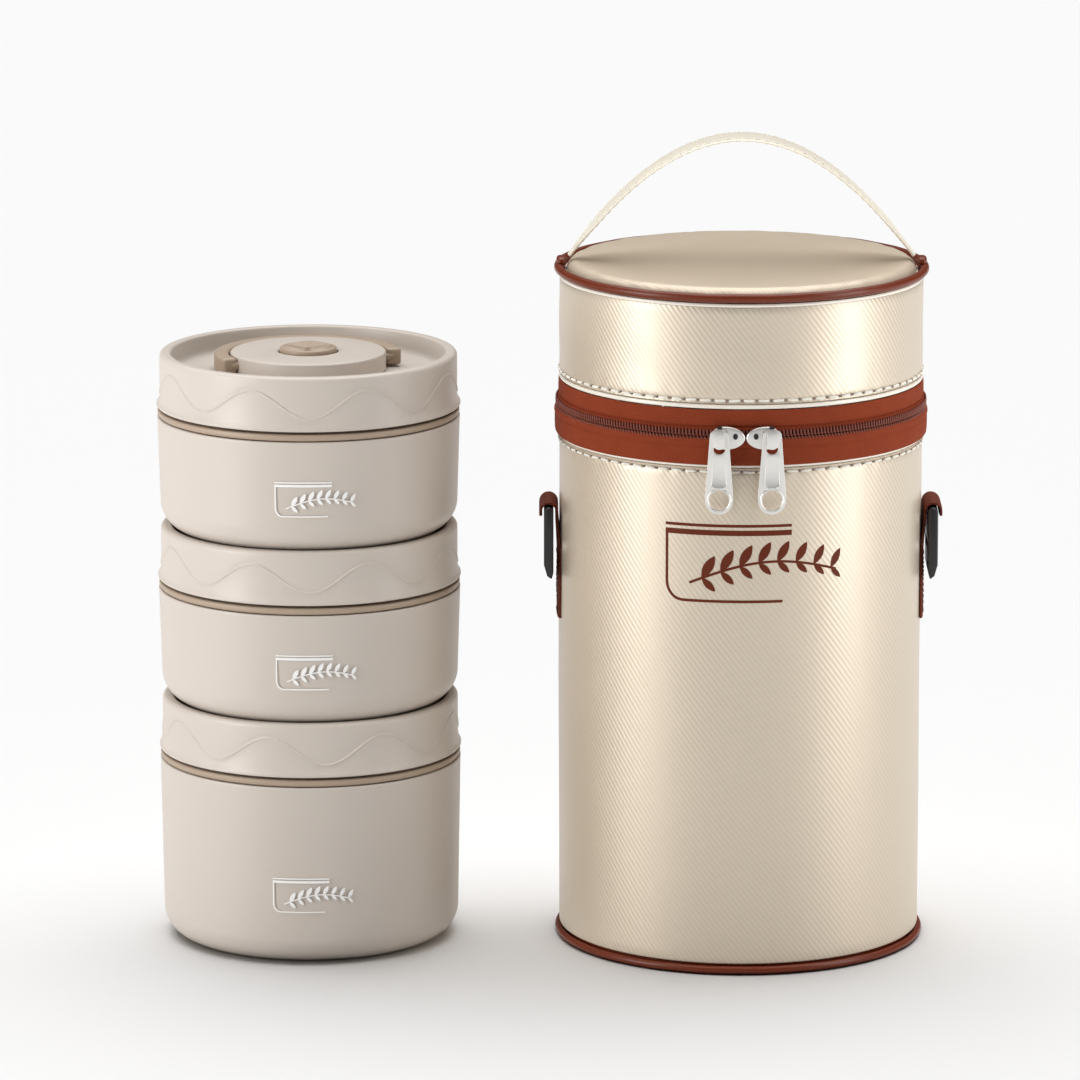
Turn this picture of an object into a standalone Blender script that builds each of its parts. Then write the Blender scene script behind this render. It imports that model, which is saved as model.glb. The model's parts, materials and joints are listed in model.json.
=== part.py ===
"""Tiffin carrier: a stack of three round food boxes beside the zipped, insulated bag that carries them.

Metres, +Z up, front towards -Y. The origin is the middle of the bag's base, on the table.
"""

import math

import bmesh
import bpy
from mathutils import Matrix, Vector

MM = 0.001
GAP = 0.3 * MM  # left between pieces that touch

# --- food boxes -------------------------------------------------------------
STACK_X = -189 * MM
BODY_HEIGHT = {"lower": 80 * MM, "middle": 50 * MM, "upper": 50 * MM}
LINER_LIFT = {"lower": 12 * MM, "middle": 0.5 * MM, "upper": 0.5 * MM}  # insulation under the steel cup
LID_TURN = {"lower": 105.0, "middle": 0.0, "upper": 0.0}  # degrees, as each lid was pressed on
BOX_SIDES = 24
INNER_SIDES = 20
BOX_RADIUS = 66.2 * MM
BOX_FLOOR_RADIUS = BOX_RADIUS - 1.2 * MM
BOX_FILLET = 12.5 * MM
SHELL_WALL = 2.0 * MM
FOOT_WIDTH = 6.0 * MM
COLLAR_HEIGHT = 3.0 * MM
COLLAR_WALL = 1.9 * MM
UPSTAND_HEIGHT = 4.8 * MM
LINER_MOUTH_RADIUS = BOX_RADIUS - 7.0 * MM
LINER_TAPER = 4.7 * MM
LINER_CORNER = 5.0 * MM
STEEL = 0.8 * MM
LID_SHADOW_GAP = 1.2 * MM
LID_HEIGHT = 23.5 * MM
LID_EDGE_RADIUS = BOX_RADIUS + 0.3 * MM
LID_TOP_RADIUS = BOX_RADIUS - 1.2 * MM
LID_WALL = 2.2 * MM
RIM_LAND = 5.7 * MM
RECESS_DEPTH = 8.5 * MM
NEST_DROP = 1.7 * MM  # how far a box's foot sinks into the lid below it
HUB_RADIUS = 34.0 * MM
HUB_WELL_DEPTH = 5.0 * MM
PLATE_WALL = 2.0 * MM
PLUG_DEPTH = LID_HEIGHT - RECESS_DEPTH - 6.0 * MM
PLUG_CLEARANCE = 0.9 * MM
GASKET_WIDTH = 4.3 * MM

BUTTON_RADIUS = 12.5 * MM
BUTTON_PROUD = 2.1 * MM
BUTTON_TRAVEL = 1.8 * MM
BUTTON_CLEARANCE = 0.7 * MM
STEM_RADIUS = 3.0 * MM
STEM_CLEARANCE = 0.6 * MM
SEAL_RADIUS = 6.5 * MM
SEAL_THICKNESS = 1.6 * MM

BAIL_GAP = 0.6 * MM
BAIL_WIDTH = 6.5 * MM
BAIL_HEIGHT = 7.2 * MM
BAIL_MIDDLE = 109.0  # degrees round from +X, before the lid is turned
BAIL_PIVOT_ANGLE = 98.0  # from the middle of the bail to each pivot
BAIL_TAIL_ANGLE = 3.0
BAIL_PIN_RADIUS = 1.6 * MM
BAIL_PIN_DEPTH = 3.0 * MM
PIN_CLEARANCE = 0.15 * MM

# --- carry bag --------------------------------------------------------------
BAG_SIDES = 36
BAG_RADIUS = 79.5 * MM
BAG_WALL = 4.5 * MM
BASE_PANEL_RADIUS = BAG_RADIUS - 2.5 * MM
BASE_PANEL_HEIGHT = 4.3 * MM
BASE_PIPING_RADIUS = 1.9 * MM
LINING = 1.3 * MM
ZIP_HEIGHT = 238.0 * MM
TAPE_BAND = 23.0 * MM
TAPE_THICKNESS = 2.6 * MM
TAPE_PROUD = 0.4 * MM
COIL_HEIGHT = 2.0 * MM
COIL_PROUD = 2.0 * MM
COIL_THICKNESS = 2.4 * MM
HINGE_HALF_ANGLE = 20.0  # of the cloth strip at the back that the zip leaves uncut
HINGE_SEAM_ANGLE = 0.4
LID_WALL_TOP = 295.4 * MM
TOP_PIPING_RADIUS = 2.2 * MM
TOP_PANEL_RADIUS = BAG_RADIUS - 3.0 * MM
TOP_SHOULDER_RADIUS = BAG_RADIUS - 6.8 * MM
TOP_DOME = 6.8 * MM

HANDLE_HALF_SPAN = BAG_RADIUS - 4.5 * MM
HANDLE_RISE = 52.0 * MM
HANDLE_WIDTH = 22.0 * MM
HANDLE_END_WIDTH = 5.6 * MM
HANDLE_TAPER_RISE = 18.0 * MM
HANDLE_THICKNESS = 1.8 * MM
HANDLE_STEPS = 24

SLIDER_LENGTH = 15.0 * MM
SLIDER_HEIGHT = 11.5 * MM
SLIDER_THICKNESS = 2.2 * MM
SLIDER_SPACING = 15.4 * MM
PULL_OFFSET = 3.5 * MM  # of the pull from its slider's middle
BRIDGE_WIDTH = 2.2 * MM
BRIDGE_HALF_SPAN = 3.4 * MM
BRIDGE_BAR = 1.2 * MM
BRIDGE_ROOM = 2.3 * MM
PULL_THICKNESS = 1.3 * MM
PULL_TOP_WIDTH = 8.0 * MM
PULL_END_WIDTH = 12.0 * MM
PULL_DROP = 26.8 * MM  # from the pivot to the middle of the finger hole
PULL_HOLE_RADIUS = 4.4 * MM
PULL_BAR = 1.6 * MM

TAB_WIDTH = 25.0 * MM
TAB_THICKNESS = 1.4 * MM
TAB_FOOT = 143.6 * MM
TAB_LOOP_HEIGHT = 191.4 * MM
TAB_LOOP_RADIUS = 3.5 * MM
BUCKLE_THICKNESS = 4.2 * MM
BUCKLE_LENGTH = 29.8 * MM
BUCKLE_ARM = 3.0 * MM
BUCKLE_SIDE_CLEARANCE = 0.5 * MM
BUCKLE_SLOT = 5.0 * MM
BUCKLE_BAR = 1.5 * MM  # from the pivot down to the first slot
BUCKLE_LOWER_SLOT = 14.5 * MM  # from the pivot down to the second slot
BUCKLE_TIP_SLOPE = 6.0 * MM


# --- helpers ----------------------------------------------------------------
def make_material(name, colour, roughness, metallic=0.0):
    material = bpy.data.materials.new(name)
    material.use_nodes = True
    material.diffuse_color = (*colour, 1.0)
    shader = material.node_tree.nodes["Principled BSDF"]
    shader.inputs["Base Color"].default_value = (*colour, 1.0)
    shader.inputs["Roughness"].default_value = roughness
    shader.inputs["Metallic"].default_value = metallic
    return material


def make_empty(name, location, turn=0.0, parent=None):
    empty = bpy.data.objects.new(name, None)
    bpy.context.scene.collection.objects.link(empty)
    empty.location = location
    empty.rotation_euler.z = math.radians(turn)
    empty.parent = parent
    return empty


def make_object(name, bm, material, origin=(0.0, 0.0, 0.0), parent=None):
    """Turns a bmesh into an object whose origin is moved to a point of the mesh's own space."""
    bmesh.ops.recalc_face_normals(bm, faces=bm.faces)
    bmesh.ops.translate(bm, verts=bm.verts, vec=-Vector(origin))
    mesh = bpy.data.meshes.new(name)
    bm.to_mesh(mesh)
    bm.free()
    mesh.shade_smooth()
    mesh.set_sharp_from_angle(angle=math.radians(35))
    if material:
        mesh.materials.append(material)
    obj = bpy.data.objects.new(name, mesh)
    bpy.context.scene.collection.objects.link(obj)
    obj.location = origin
    obj.parent = parent
    return obj


def turned_mesh(outline, sides, start=0.0, sweep=360.0):
    """Turns a closed outline of (radius, height) points about the Z axis."""
    bm = bmesh.new()
    corners = [bm.verts.new((radius, 0.0, height)) for radius, height in outline]
    edges = [
        bm.edges.new((a, b))
        for a, b in zip(corners, corners[1:] + corners[:1])
        if a.co.x > 0.0 or b.co.x > 0.0
    ]
    turn = Matrix.Rotation(math.radians(start), 3, "Z")
    bmesh.ops.rotate(bm, verts=bm.verts, cent=(0, 0, 0), matrix=turn)
    bmesh.ops.spin(
        bm,
        geom=corners + edges,
        cent=(0, 0, 0),
        axis=(0, 0, 1),
        angle=math.radians(sweep),
        steps=sides,
    )
    bmesh.ops.remove_doubles(bm, verts=bm.verts, dist=1e-6)
    if sweep < 360.0:
        bmesh.ops.holes_fill(bm, edges=bm.edges, sides=0)
    return bm


def turned(name, outline, material, sides, parent=None, origin=(0.0, 0.0, 0.0)):
    return make_object(name, turned_mesh(outline, sides), material, origin, parent)


def steps_of(first, last, count):
    return [first + (last - first) * step / count for step in range(count + 1)]


def arc_points(centre_r, centre_z, radius, first, last, steps):
    """Points of an arc in the (radius, height) plane, with angles in degrees from straight out."""
    angles = [math.radians(angle) for angle in steps_of(first, last, steps)]
    return [(centre_r + radius * math.cos(a), centre_z + radius * math.sin(a)) for a in angles]


def extruded_mesh(outline, near, far):
    """Extrudes an outline of (x, z) points along Y."""
    bm = bmesh.new()
    corners = [bm.verts.new((x, near, z)) for x, z in outline]
    face = bm.faces.new(corners)
    grown = bmesh.ops.extrude_face_region(bm, geom=[face], use_keep_orig=True)
    moved = [item for item in grown["geom"] if isinstance(item, bmesh.types.BMVert)]
    bmesh.ops.translate(bm, verts=moved, vec=(0.0, far - near, 0.0))
    return bm


def strip_mesh(path, half_widths, thickness):
    """A flat strip that follows a path in the XZ plane, its width lying along Y."""
    bm = bmesh.new()
    last = len(path) - 1
    rings = []
    for index, (point, half_width) in enumerate(zip(path, half_widths)):
        along = (path[min(index + 1, last)] - path[max(index - 1, 0)]).normalized()
        across = Vector((-along.z, 0.0, along.x)) * thickness / 2
        side = Vector((0.0, half_width, 0.0))
        corners = [point + across + side, point + across - side, point - across - side, point - across + side]
        rings.append([bm.verts.new(corner) for corner in corners])
    for ring, following in zip(rings, rings[1:]):
        for corner in range(4):
            after = (corner + 1) % 4
            bm.faces.new((ring[corner], ring[after], following[after], following[corner]))
    bm.faces.new(rings[0])
    bm.faces.new(rings[-1])
    return bm


def box_mesh(low, high):
    bm = bmesh.new()
    bmesh.ops.create_cube(bm, size=1.0)
    bmesh.ops.scale(bm, verts=bm.verts, vec=Vector(high) - Vector(low))
    bmesh.ops.translate(bm, verts=bm.verts, vec=(Vector(high) + Vector(low)) / 2)
    return bm


def rod_mesh(start, end, radius, sides):
    bm = bmesh.new()
    length = (Vector(end) - Vector(start)).length
    bmesh.ops.create_cone(
        bm, cap_ends=True, cap_tris=False, segments=sides, radius1=radius, radius2=radius, depth=length
    )
    turn = (Vector(end) - Vector(start)).to_track_quat("Z", "Y").to_matrix()
    bmesh.ops.rotate(bm, verts=bm.verts, cent=(0, 0, 0), matrix=turn)
    bmesh.ops.translate(bm, verts=bm.verts, vec=(Vector(start) + Vector(end)) / 2)
    return bm


def combine(obj, bm, operation):
    """Cuts a hidden tool from an object, or unites the two. The tool is given in the object's own space."""
    tool = make_object(f"{obj.name}_{operation.lower()}_tool", bm, None, parent=obj)
    tool.hide_render = True
    tool.display_type = "WIRE"
    modifier = obj.modifiers.new(tool.name, "BOOLEAN")
    modifier.operation = operation
    modifier.object = tool


# --- food box ---------------------------------------------------------------
def fillet_angle(height):
    """Where the rounded lower edge of a box is at this height, in degrees round the edge's own centre."""
    return -math.degrees(math.acos(math.sqrt(1 - (1 - height / BOX_FILLET) ** 2)))


def make_base_shell(level, parent, plastic):
    height = BODY_HEIGHT[level]
    foot_radius = BOX_FLOOR_RADIUS - BOX_FILLET
    under = NEST_DROP + BUTTON_PROUD + 3 * GAP
    under_angle = fillet_angle(under)
    floor = under + SHELL_WALL
    inner_fillet = BOX_FILLET - SHELL_WALL
    floor_edge = foot_radius + math.sqrt(inner_fillet**2 - (BOX_FILLET - floor) ** 2)
    outline = [(0.0, under)]
    outline += arc_points(foot_radius, BOX_FILLET, BOX_FILLET, under_angle, 0, 3)
    outline += [(BOX_RADIUS, height), (BOX_RADIUS - SHELL_WALL, height)]
    outline += [(BOX_FLOOR_RADIUS - SHELL_WALL, BOX_FILLET), (floor_edge, floor), (0.0, floor)]
    turned(f"{level}_base_shell", outline, plastic, BOX_SIDES, parent)

    foot_top = under - GAP
    outline = arc_points(foot_radius, BOX_FILLET, BOX_FILLET, -90, fillet_angle(foot_top), 2)
    inner = max(foot_radius - FOOT_WIDTH, HUB_RADIUS + BAIL_GAP + BAIL_WIDTH + MM)
    outline += [(inner, foot_top), (inner + MM, 0.0)]
    turned(f"{level}_foot_ring", outline, plastic, BOX_SIDES, parent)
    return floor


def make_collar(level, parent, plastic):
    bottom = BODY_HEIGHT[level] + GAP
    top = bottom + COLLAR_HEIGHT
    inner = LINER_MOUTH_RADIUS + GAP
    upstand = inner + COLLAR_WALL
    outline = [(inner, bottom), (BOX_RADIUS - MM, bottom), (BOX_RADIUS - 0.2 * MM, top), (upstand, top)]
    outline += [(upstand, top + UPSTAND_HEIGHT), (inner, top + UPSTAND_HEIGHT)]
    turned(f"{level}_collar", outline, plastic, BOX_SIDES, parent)
    return top


def make_liner(level, parent, steel, shell_floor, collar_top):
    floor = shell_floor + LINER_LIFT[level]
    rim = collar_top + UPSTAND_HEIGHT + GAP
    outer = LINER_MOUTH_RADIUS
    bottom = outer - LINER_TAPER
    lip = outer + GAP + COLLAR_WALL
    inner_corner = LINER_CORNER - STEEL
    outline = [(0.0, floor)]
    outline += arc_points(bottom - LINER_CORNER, floor + LINER_CORNER, LINER_CORNER, -90, 0, 2)
    outline += [(outer, rim), (lip, rim), (lip, rim + STEEL), (outer - STEEL, rim + STEEL)]
    outline += arc_points(bottom - LINER_CORNER, floor + LINER_CORNER, inner_corner, 0, -90, 2)
    outline += [(0.0, floor + STEEL)]
    turned(f"{level}_liner", outline, steel, BOX_SIDES, parent)
    return rim + STEEL


def make_lid_cover(level, parent, plastic):
    top = LID_HEIGHT
    recess = top - RECESS_DEPTH
    under = recess - LID_WALL
    rim_inner = LID_TOP_RADIUS - RIM_LAND
    hole = STEM_RADIUS + STEM_CLEARANCE
    outline = [(LID_EDGE_RADIUS, 0.0), (LID_TOP_RADIUS + 0.5 * MM, 9 * MM), (LID_TOP_RADIUS, top - 2 * MM)]
    outline += [(LID_TOP_RADIUS - 0.6 * MM, top - 0.6 * MM), (LID_TOP_RADIUS - 2 * MM, top)]
    outline += [(rim_inner + 0.8 * MM, top), (rim_inner, top - 0.8 * MM), (rim_inner - 0.4 * MM, recess + 2.5 * MM)]
    outline += [(rim_inner - 2.8 * MM, recess), (hole, recess), (hole, under)]
    outline += [(LID_TOP_RADIUS - LID_WALL, under), (LID_EDGE_RADIUS - LID_WALL, 0.0)]
    turned(f"{level}_lid_cover", outline, plastic, BOX_SIDES, parent)
    return recess, under


def make_hub(level, parent, plastic, recess):
    hole = STEM_RADIUS + STEM_CLEARANCE
    well = BUTTON_RADIUS + BUTTON_CLEARANCE
    well_floor = LID_HEIGHT - HUB_WELL_DEPTH
    outline = [(hole, recess + GAP), (HUB_RADIUS, recess + GAP), (HUB_RADIUS, LID_HEIGHT - MM)]
    outline += [(HUB_RADIUS - MM, LID_HEIGHT), (well, LID_HEIGHT), (well, well_floor), (hole, well_floor)]
    return turned(f"{level}_lid_hub", outline, plastic, INNER_SIDES, parent)


def make_plate(level, parent, plastic, under):
    top = under - GAP
    bottom = top - PLATE_WALL
    plug = LINER_MOUTH_RADIUS - STEEL - PLUG_CLEARANCE
    edge = LINER_MOUTH_RADIUS + GAP + COLLAR_WALL
    hole = STEM_RADIUS + STEM_CLEARANCE
    outline = [(hole, top), (edge, top), (edge, bottom), (plug, bottom), (plug, bottom - PLUG_DEPTH)]
    outline += [(plug - PLATE_WALL, bottom - PLUG_DEPTH), (plug - PLATE_WALL, bottom), (hole, bottom)]
    turned(f"{level}_lid_plate", outline, plastic, INNER_SIDES, parent)
    return bottom


def make_gasket(level, parent, silicone, rim_top, plate_bottom):
    inner = LINER_MOUTH_RADIUS - STEEL - PLUG_CLEARANCE + GAP
    low = rim_top + GAP
    high = plate_bottom - GAP
    outer = inner + GASKET_WIDTH
    turned(f"{level}_gasket", [(inner, low), (outer, low), (outer, high), (inner, high)], silicone, INNER_SIDES, parent)


def make_button(level, parent, plastic, silicone, plate_bottom):
    under = LID_HEIGHT - HUB_WELL_DEPTH + BUTTON_TRAVEL + GAP
    top = LID_HEIGHT + BUTTON_PROUD
    outline = [(0.0, plate_bottom), (STEM_RADIUS, plate_bottom), (STEM_RADIUS, under), (BUTTON_RADIUS, under)]
    outline += [(BUTTON_RADIUS, top - 0.8 * MM), (BUTTON_RADIUS - 0.8 * MM, top), (0.0, top)]
    turned(f"{level}_vent_button", outline, plastic, INNER_SIDES, parent)
    high = plate_bottom - GAP
    seal = [(0.0, high - SEAL_THICKNESS), (SEAL_RADIUS, high - SEAL_THICKNESS), (SEAL_RADIUS, high), (0.0, high)]
    turned(f"{level}_vent_seal", seal, silicone, INNER_SIDES // 2, parent)


def make_bail(level, parent, plastic, hub):
    """The arc handle that lies round the hub and turns up about two pins in the hub's side."""
    inner = HUB_RADIUS + BAIL_GAP
    outer = inner + BAIL_WIDTH
    middle_radius = (inner + outer) / 2
    top = LID_HEIGHT - GAP
    bottom = top - BAIL_HEIGHT
    half = BAIL_PIVOT_ANGLE + BAIL_TAIL_ANGLE
    chamfer = 0.9 * MM
    outline = [(inner, bottom), (outer, bottom), (outer, top - chamfer), (outer - chamfer, top), (inner, top)]
    bm = turned_mesh(outline, 20, BAIL_MIDDLE - half, 2 * half)
    towards = Vector((math.cos(math.radians(BAIL_MIDDLE)), math.sin(math.radians(BAIL_MIDDLE)), 0.0))
    along = Vector((-towards.y, towards.x, 0.0))
    back = math.cos(math.radians(BAIL_PIVOT_ANGLE)) * middle_radius
    pivot = towards * back + Vector((0.0, 0.0, (top + bottom) / 2))
    bail = make_object(f"{level}_lid_handle", bm, plastic, pivot, parent)
    pin_end = math.sqrt(HUB_RADIUS**2 - back**2)
    for side in (-1, 1):
        start = along * side * (pin_end - BAIL_PIN_DEPTH)
        end = along * side * (pin_end + BAIL_GAP + BAIL_WIDTH / 2)
        combine(bail, rod_mesh(start, end, BAIL_PIN_RADIUS, 12), "UNION")
        start = along * side * (pin_end - BAIL_PIN_DEPTH - GAP) + pivot
        combine(hub, rod_mesh(start, end + pivot, BAIL_PIN_RADIUS + PIN_CLEARANCE, 12), "DIFFERENCE")


def make_food_box(level, bottom, plastics):
    """One box: a steel cup in a plastic shell, and the lid that closes it. Returns the height of its lid's top."""
    base = make_empty(f"{level}_base", (STACK_X, 0.0, bottom))
    shell_floor = make_base_shell(level, base, plastics["shell"])
    collar_top = make_collar(level, base, plastics["accent"])
    rim_top = make_liner(level, base, plastics["steel"], shell_floor, collar_top)
    lid_bottom = collar_top + LID_SHADOW_GAP
    lid = make_empty(f"{level}_lid", (STACK_X, 0.0, bottom + lid_bottom), LID_TURN[level])
    recess, under = make_lid_cover(level, lid, plastics["shell"])
    hub = make_hub(level, lid, plastics["shell"], recess)
    plate_bottom = make_plate(level, lid, plastics["plate"], under)
    make_gasket(level, lid, plastics["silicone"], rim_top - lid_bottom, plate_bottom)
    make_button(level, lid, plastics["accent"], plastics["silicone"], plate_bottom)
    make_bail(level, lid, plastics["accent"], hub)
    return bottom + lid_bottom + LID_HEIGHT


# --- carry bag --------------------------------------------------------------
def ring_outline(inner, outer, bottom, top):
    return [(inner, bottom), (outer, bottom), (outer, top), (inner, top)]


def piping_outline(radius, height, thickness):
    return arc_points(radius, height, thickness, 0, 300, 5)


def make_bag_body(cloth):
    """The wall, base and lining of the bag."""
    wall_bottom = BASE_PANEL_HEIGHT + GAP
    wall_top = ZIP_HEIGHT - TAPE_BAND / 2 - GAP
    inner = BAG_RADIUS - BAG_WALL
    turned("bag_wall", ring_outline(inner, BAG_RADIUS, wall_bottom, wall_top), cloth["cream"], BAG_SIDES)
    base = [(0.0, 0.0), (BASE_PANEL_RADIUS, 0.0), (BASE_PANEL_RADIUS, BASE_PANEL_HEIGHT), (0.0, BASE_PANEL_HEIGHT)]
    turned("bag_base_panel", base, cloth["brown"], BAG_SIDES)
    piping_radius = BASE_PANEL_RADIUS + GAP + BASE_PIPING_RADIUS
    piping = piping_outline(piping_radius, BASE_PIPING_RADIUS + GAP, BASE_PIPING_RADIUS)
    turned("bag_base_piping", piping, cloth["brown"], BAG_SIDES)
    outer = inner - GAP
    top = ZIP_HEIGHT - COIL_HEIGHT - 2 * MM
    floor = wall_bottom
    lining = [(0.0, floor), (outer, floor), (outer, top), (outer - LINING, top)]
    lining += [(outer - LINING, floor + LINING), (0.0, floor + LINING)]
    turned("bag_lining", lining, cloth["foil"], BAG_SIDES)


def make_bag_lid(cloth):
    """The wall, top panel, lining and piping of the lid."""
    wall_bottom = ZIP_HEIGHT + TAPE_BAND / 2 + GAP
    inner = BAG_RADIUS - BAG_WALL
    turned("lid_wall", ring_outline(inner, BAG_RADIUS, wall_bottom, LID_WALL_TOP), cloth["cream"], BAG_SIDES)
    piping_height = LID_WALL_TOP + GAP + TOP_PIPING_RADIUS
    turned("lid_piping", piping_outline(BAG_RADIUS, piping_height, TOP_PIPING_RADIUS), cloth["brown"], BAG_SIDES)
    bottom = LID_WALL_TOP + GAP
    top = bottom + TOP_DOME
    panel = [(0.0, bottom), (TOP_PANEL_RADIUS, bottom), (TOP_PANEL_RADIUS, bottom + 2 * MM)]
    panel += [(TOP_SHOULDER_RADIUS + MM, bottom + 4.6 * MM), (TOP_SHOULDER_RADIUS - 3 * MM, top - MM), (0.0, top)]
    turned("lid_top_panel", panel, cloth["cream"], BAG_SIDES)
    outer = inner - GAP
    low = ZIP_HEIGHT + COIL_HEIGHT + 2 * MM
    lining = [(0.0, LID_WALL_TOP), (outer, LID_WALL_TOP), (outer, low), (outer - LINING, low)]
    lining += [(outer - LINING, LID_WALL_TOP - LINING), (0.0, LID_WALL_TOP - LINING)]
    turned("lid_lining", lining, cloth["foil"], BAG_SIDES)


def make_zip_half(name, side, cloth):
    """One tape and its coil, and the cloth strip that stands in for them at the back. side is 1 above, -1 below."""
    start = 90.0 + HINGE_HALF_ANGLE
    sweep = 360.0 - 2 * HINGE_HALF_ANGLE
    steps = BAG_SIDES - 4
    tape_outer = BAG_RADIUS + TAPE_PROUD
    tape_inner = tape_outer - TAPE_THICKNESS
    edge = ZIP_HEIGHT + side * TAPE_BAND / 2
    coil_edge = ZIP_HEIGHT + side * (GAP / 2 + COIL_HEIGHT)
    tape = ring_outline(tape_inner, tape_outer, coil_edge + side * GAP, edge)
    make_object(f"zip_tape_{name}", turned_mesh(tape, steps, start, sweep), cloth["tape"])
    coil_outer = BAG_RADIUS + COIL_PROUD
    coil = ring_outline(coil_outer - COIL_THICKNESS, coil_outer, ZIP_HEIGHT + side * GAP / 2, coil_edge)
    make_object(f"zip_coil_{name}", turned_mesh(coil, steps, start, sweep), cloth["coil"])
    back = ring_outline(tape_inner, tape_outer, ZIP_HEIGHT + side * GAP / 2, edge)
    half = HINGE_HALF_ANGLE - HINGE_SEAM_ANGLE
    hinge = turned_mesh(back, 6, 90.0 - half, 2 * half)
    make_object(f"hinge_strip_{name}", hinge, cloth["cream"], (0.0, tape_outer, ZIP_HEIGHT))


def make_carry_handle(cloth):
    """A tapered strap that arches over the lid; its origin is on the line through its two ends."""
    foot = LID_WALL_TOP + GAP + 2 * TOP_PIPING_RADIUS + HANDLE_END_WIDTH / 2 + 2 * GAP
    path = []
    half_widths = []
    for step in range(HANDLE_STEPS + 1):
        across = math.sin(math.pi * (step / HANDLE_STEPS - 0.5))
        rise = HANDLE_RISE * (1 - across**2)
        path.append(Vector((HANDLE_HALF_SPAN * across, 0.0, foot + rise)))
        grown = min(rise / HANDLE_TAPER_RISE, 1.0)
        half_widths.append((HANDLE_END_WIDTH + (HANDLE_WIDTH - HANDLE_END_WIDTH) * grown) / 2)
    bm = strip_mesh(path, half_widths, HANDLE_THICKNESS)
    make_object("carry_handle", bm, cloth["cream"], (0.0, 0.0, foot))


def slider_outline(side):
    """A teardrop in the XZ plane, blunt where the pull hangs and round where the two sliders meet."""
    length = SLIDER_LENGTH / 2 * side
    height = SLIDER_HEIGHT / 2
    blunt = [(length, height / 2), (length * 0.8, height)]
    nose = [(-length * math.sin(a), height * math.cos(a)) for a in steps_of(0.25, math.pi - 0.25, 8)]
    return blunt + nose + [(x, -z) for x, z in reversed(blunt)]


def make_slider(name, side, metal):
    """A zip slider and its pull; side is 1 to the right of the front. Both are built at the front, then turned."""
    back = BAG_RADIUS + COIL_PROUD + GAP + 0.1 * MM
    front = back + SLIDER_THICKNESS
    turn = side * math.degrees(SLIDER_SPACING / 2 / front)
    slider = make_object(f"zip_slider_{name}", extruded_mesh(slider_outline(side), -back, -front), metal)
    slider.location.z = ZIP_HEIGHT
    slider.rotation_euler.z = math.radians(turn)
    middle = side * PULL_OFFSET
    roof = front + BRIDGE_ROOM
    low = (middle - BRIDGE_WIDTH / 2, -roof - BRIDGE_BAR, -BRIDGE_HALF_SPAN)
    high = (middle + BRIDGE_WIDTH / 2, -front + SLIDER_THICKNESS / 2, BRIDGE_HALF_SPAN)
    combine(slider, box_mesh(low, high), "UNION")
    low = (middle - BRIDGE_WIDTH, -roof, BRIDGE_BAR - BRIDGE_HALF_SPAN)
    high = (middle + BRIDGE_WIDTH, -front, BRIDGE_HALF_SPAN - BRIDGE_BAR)
    combine(slider, box_mesh(low, high), "DIFFERENCE")
    make_pull(name, middle, front + BRIDGE_ROOM / 2, turn, metal)


def make_pull(name, middle, pivot_radius, turn, metal):
    """The finger pull hangs by a cross bar under the slider's bridge; its origin is on that bar."""
    end = PULL_END_WIDTH / 2
    top = PULL_TOP_WIDTH / 2
    outline = [(-top, PULL_BAR / 2), (-end, -PULL_DROP)]
    outline += [(-end * math.cos(a), -PULL_DROP - end * math.sin(a)) for a in steps_of(0.0, math.pi, 8)[1:]]
    outline += [(top, PULL_BAR / 2)]
    pull = make_object(f"zip_pull_{name}", extruded_mesh(outline, -PULL_THICKNESS / 2, PULL_THICKNESS / 2), metal)
    far = (0.0, PULL_THICKNESS, -PULL_DROP)
    near = (0.0, -PULL_THICKNESS, -PULL_DROP)
    combine(pull, rod_mesh(near, far, PULL_HOLE_RADIUS, 14), "DIFFERENCE")
    window = BRIDGE_WIDTH / 2 + 0.8 * MM
    low = (-window, -PULL_THICKNESS, -BRIDGE_HALF_SPAN - 2.4 * MM)
    combine(pull, box_mesh(low, (window, PULL_THICKNESS, -PULL_BAR / 2)), "DIFFERENCE")
    angle = math.radians(turn)
    pull.location = (
        middle * math.cos(angle) + pivot_radius * math.sin(angle),
        middle * math.sin(angle) - pivot_radius * math.cos(angle),
        ZIP_HEIGHT,
    )
    pull.rotation_euler.z = angle


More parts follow.
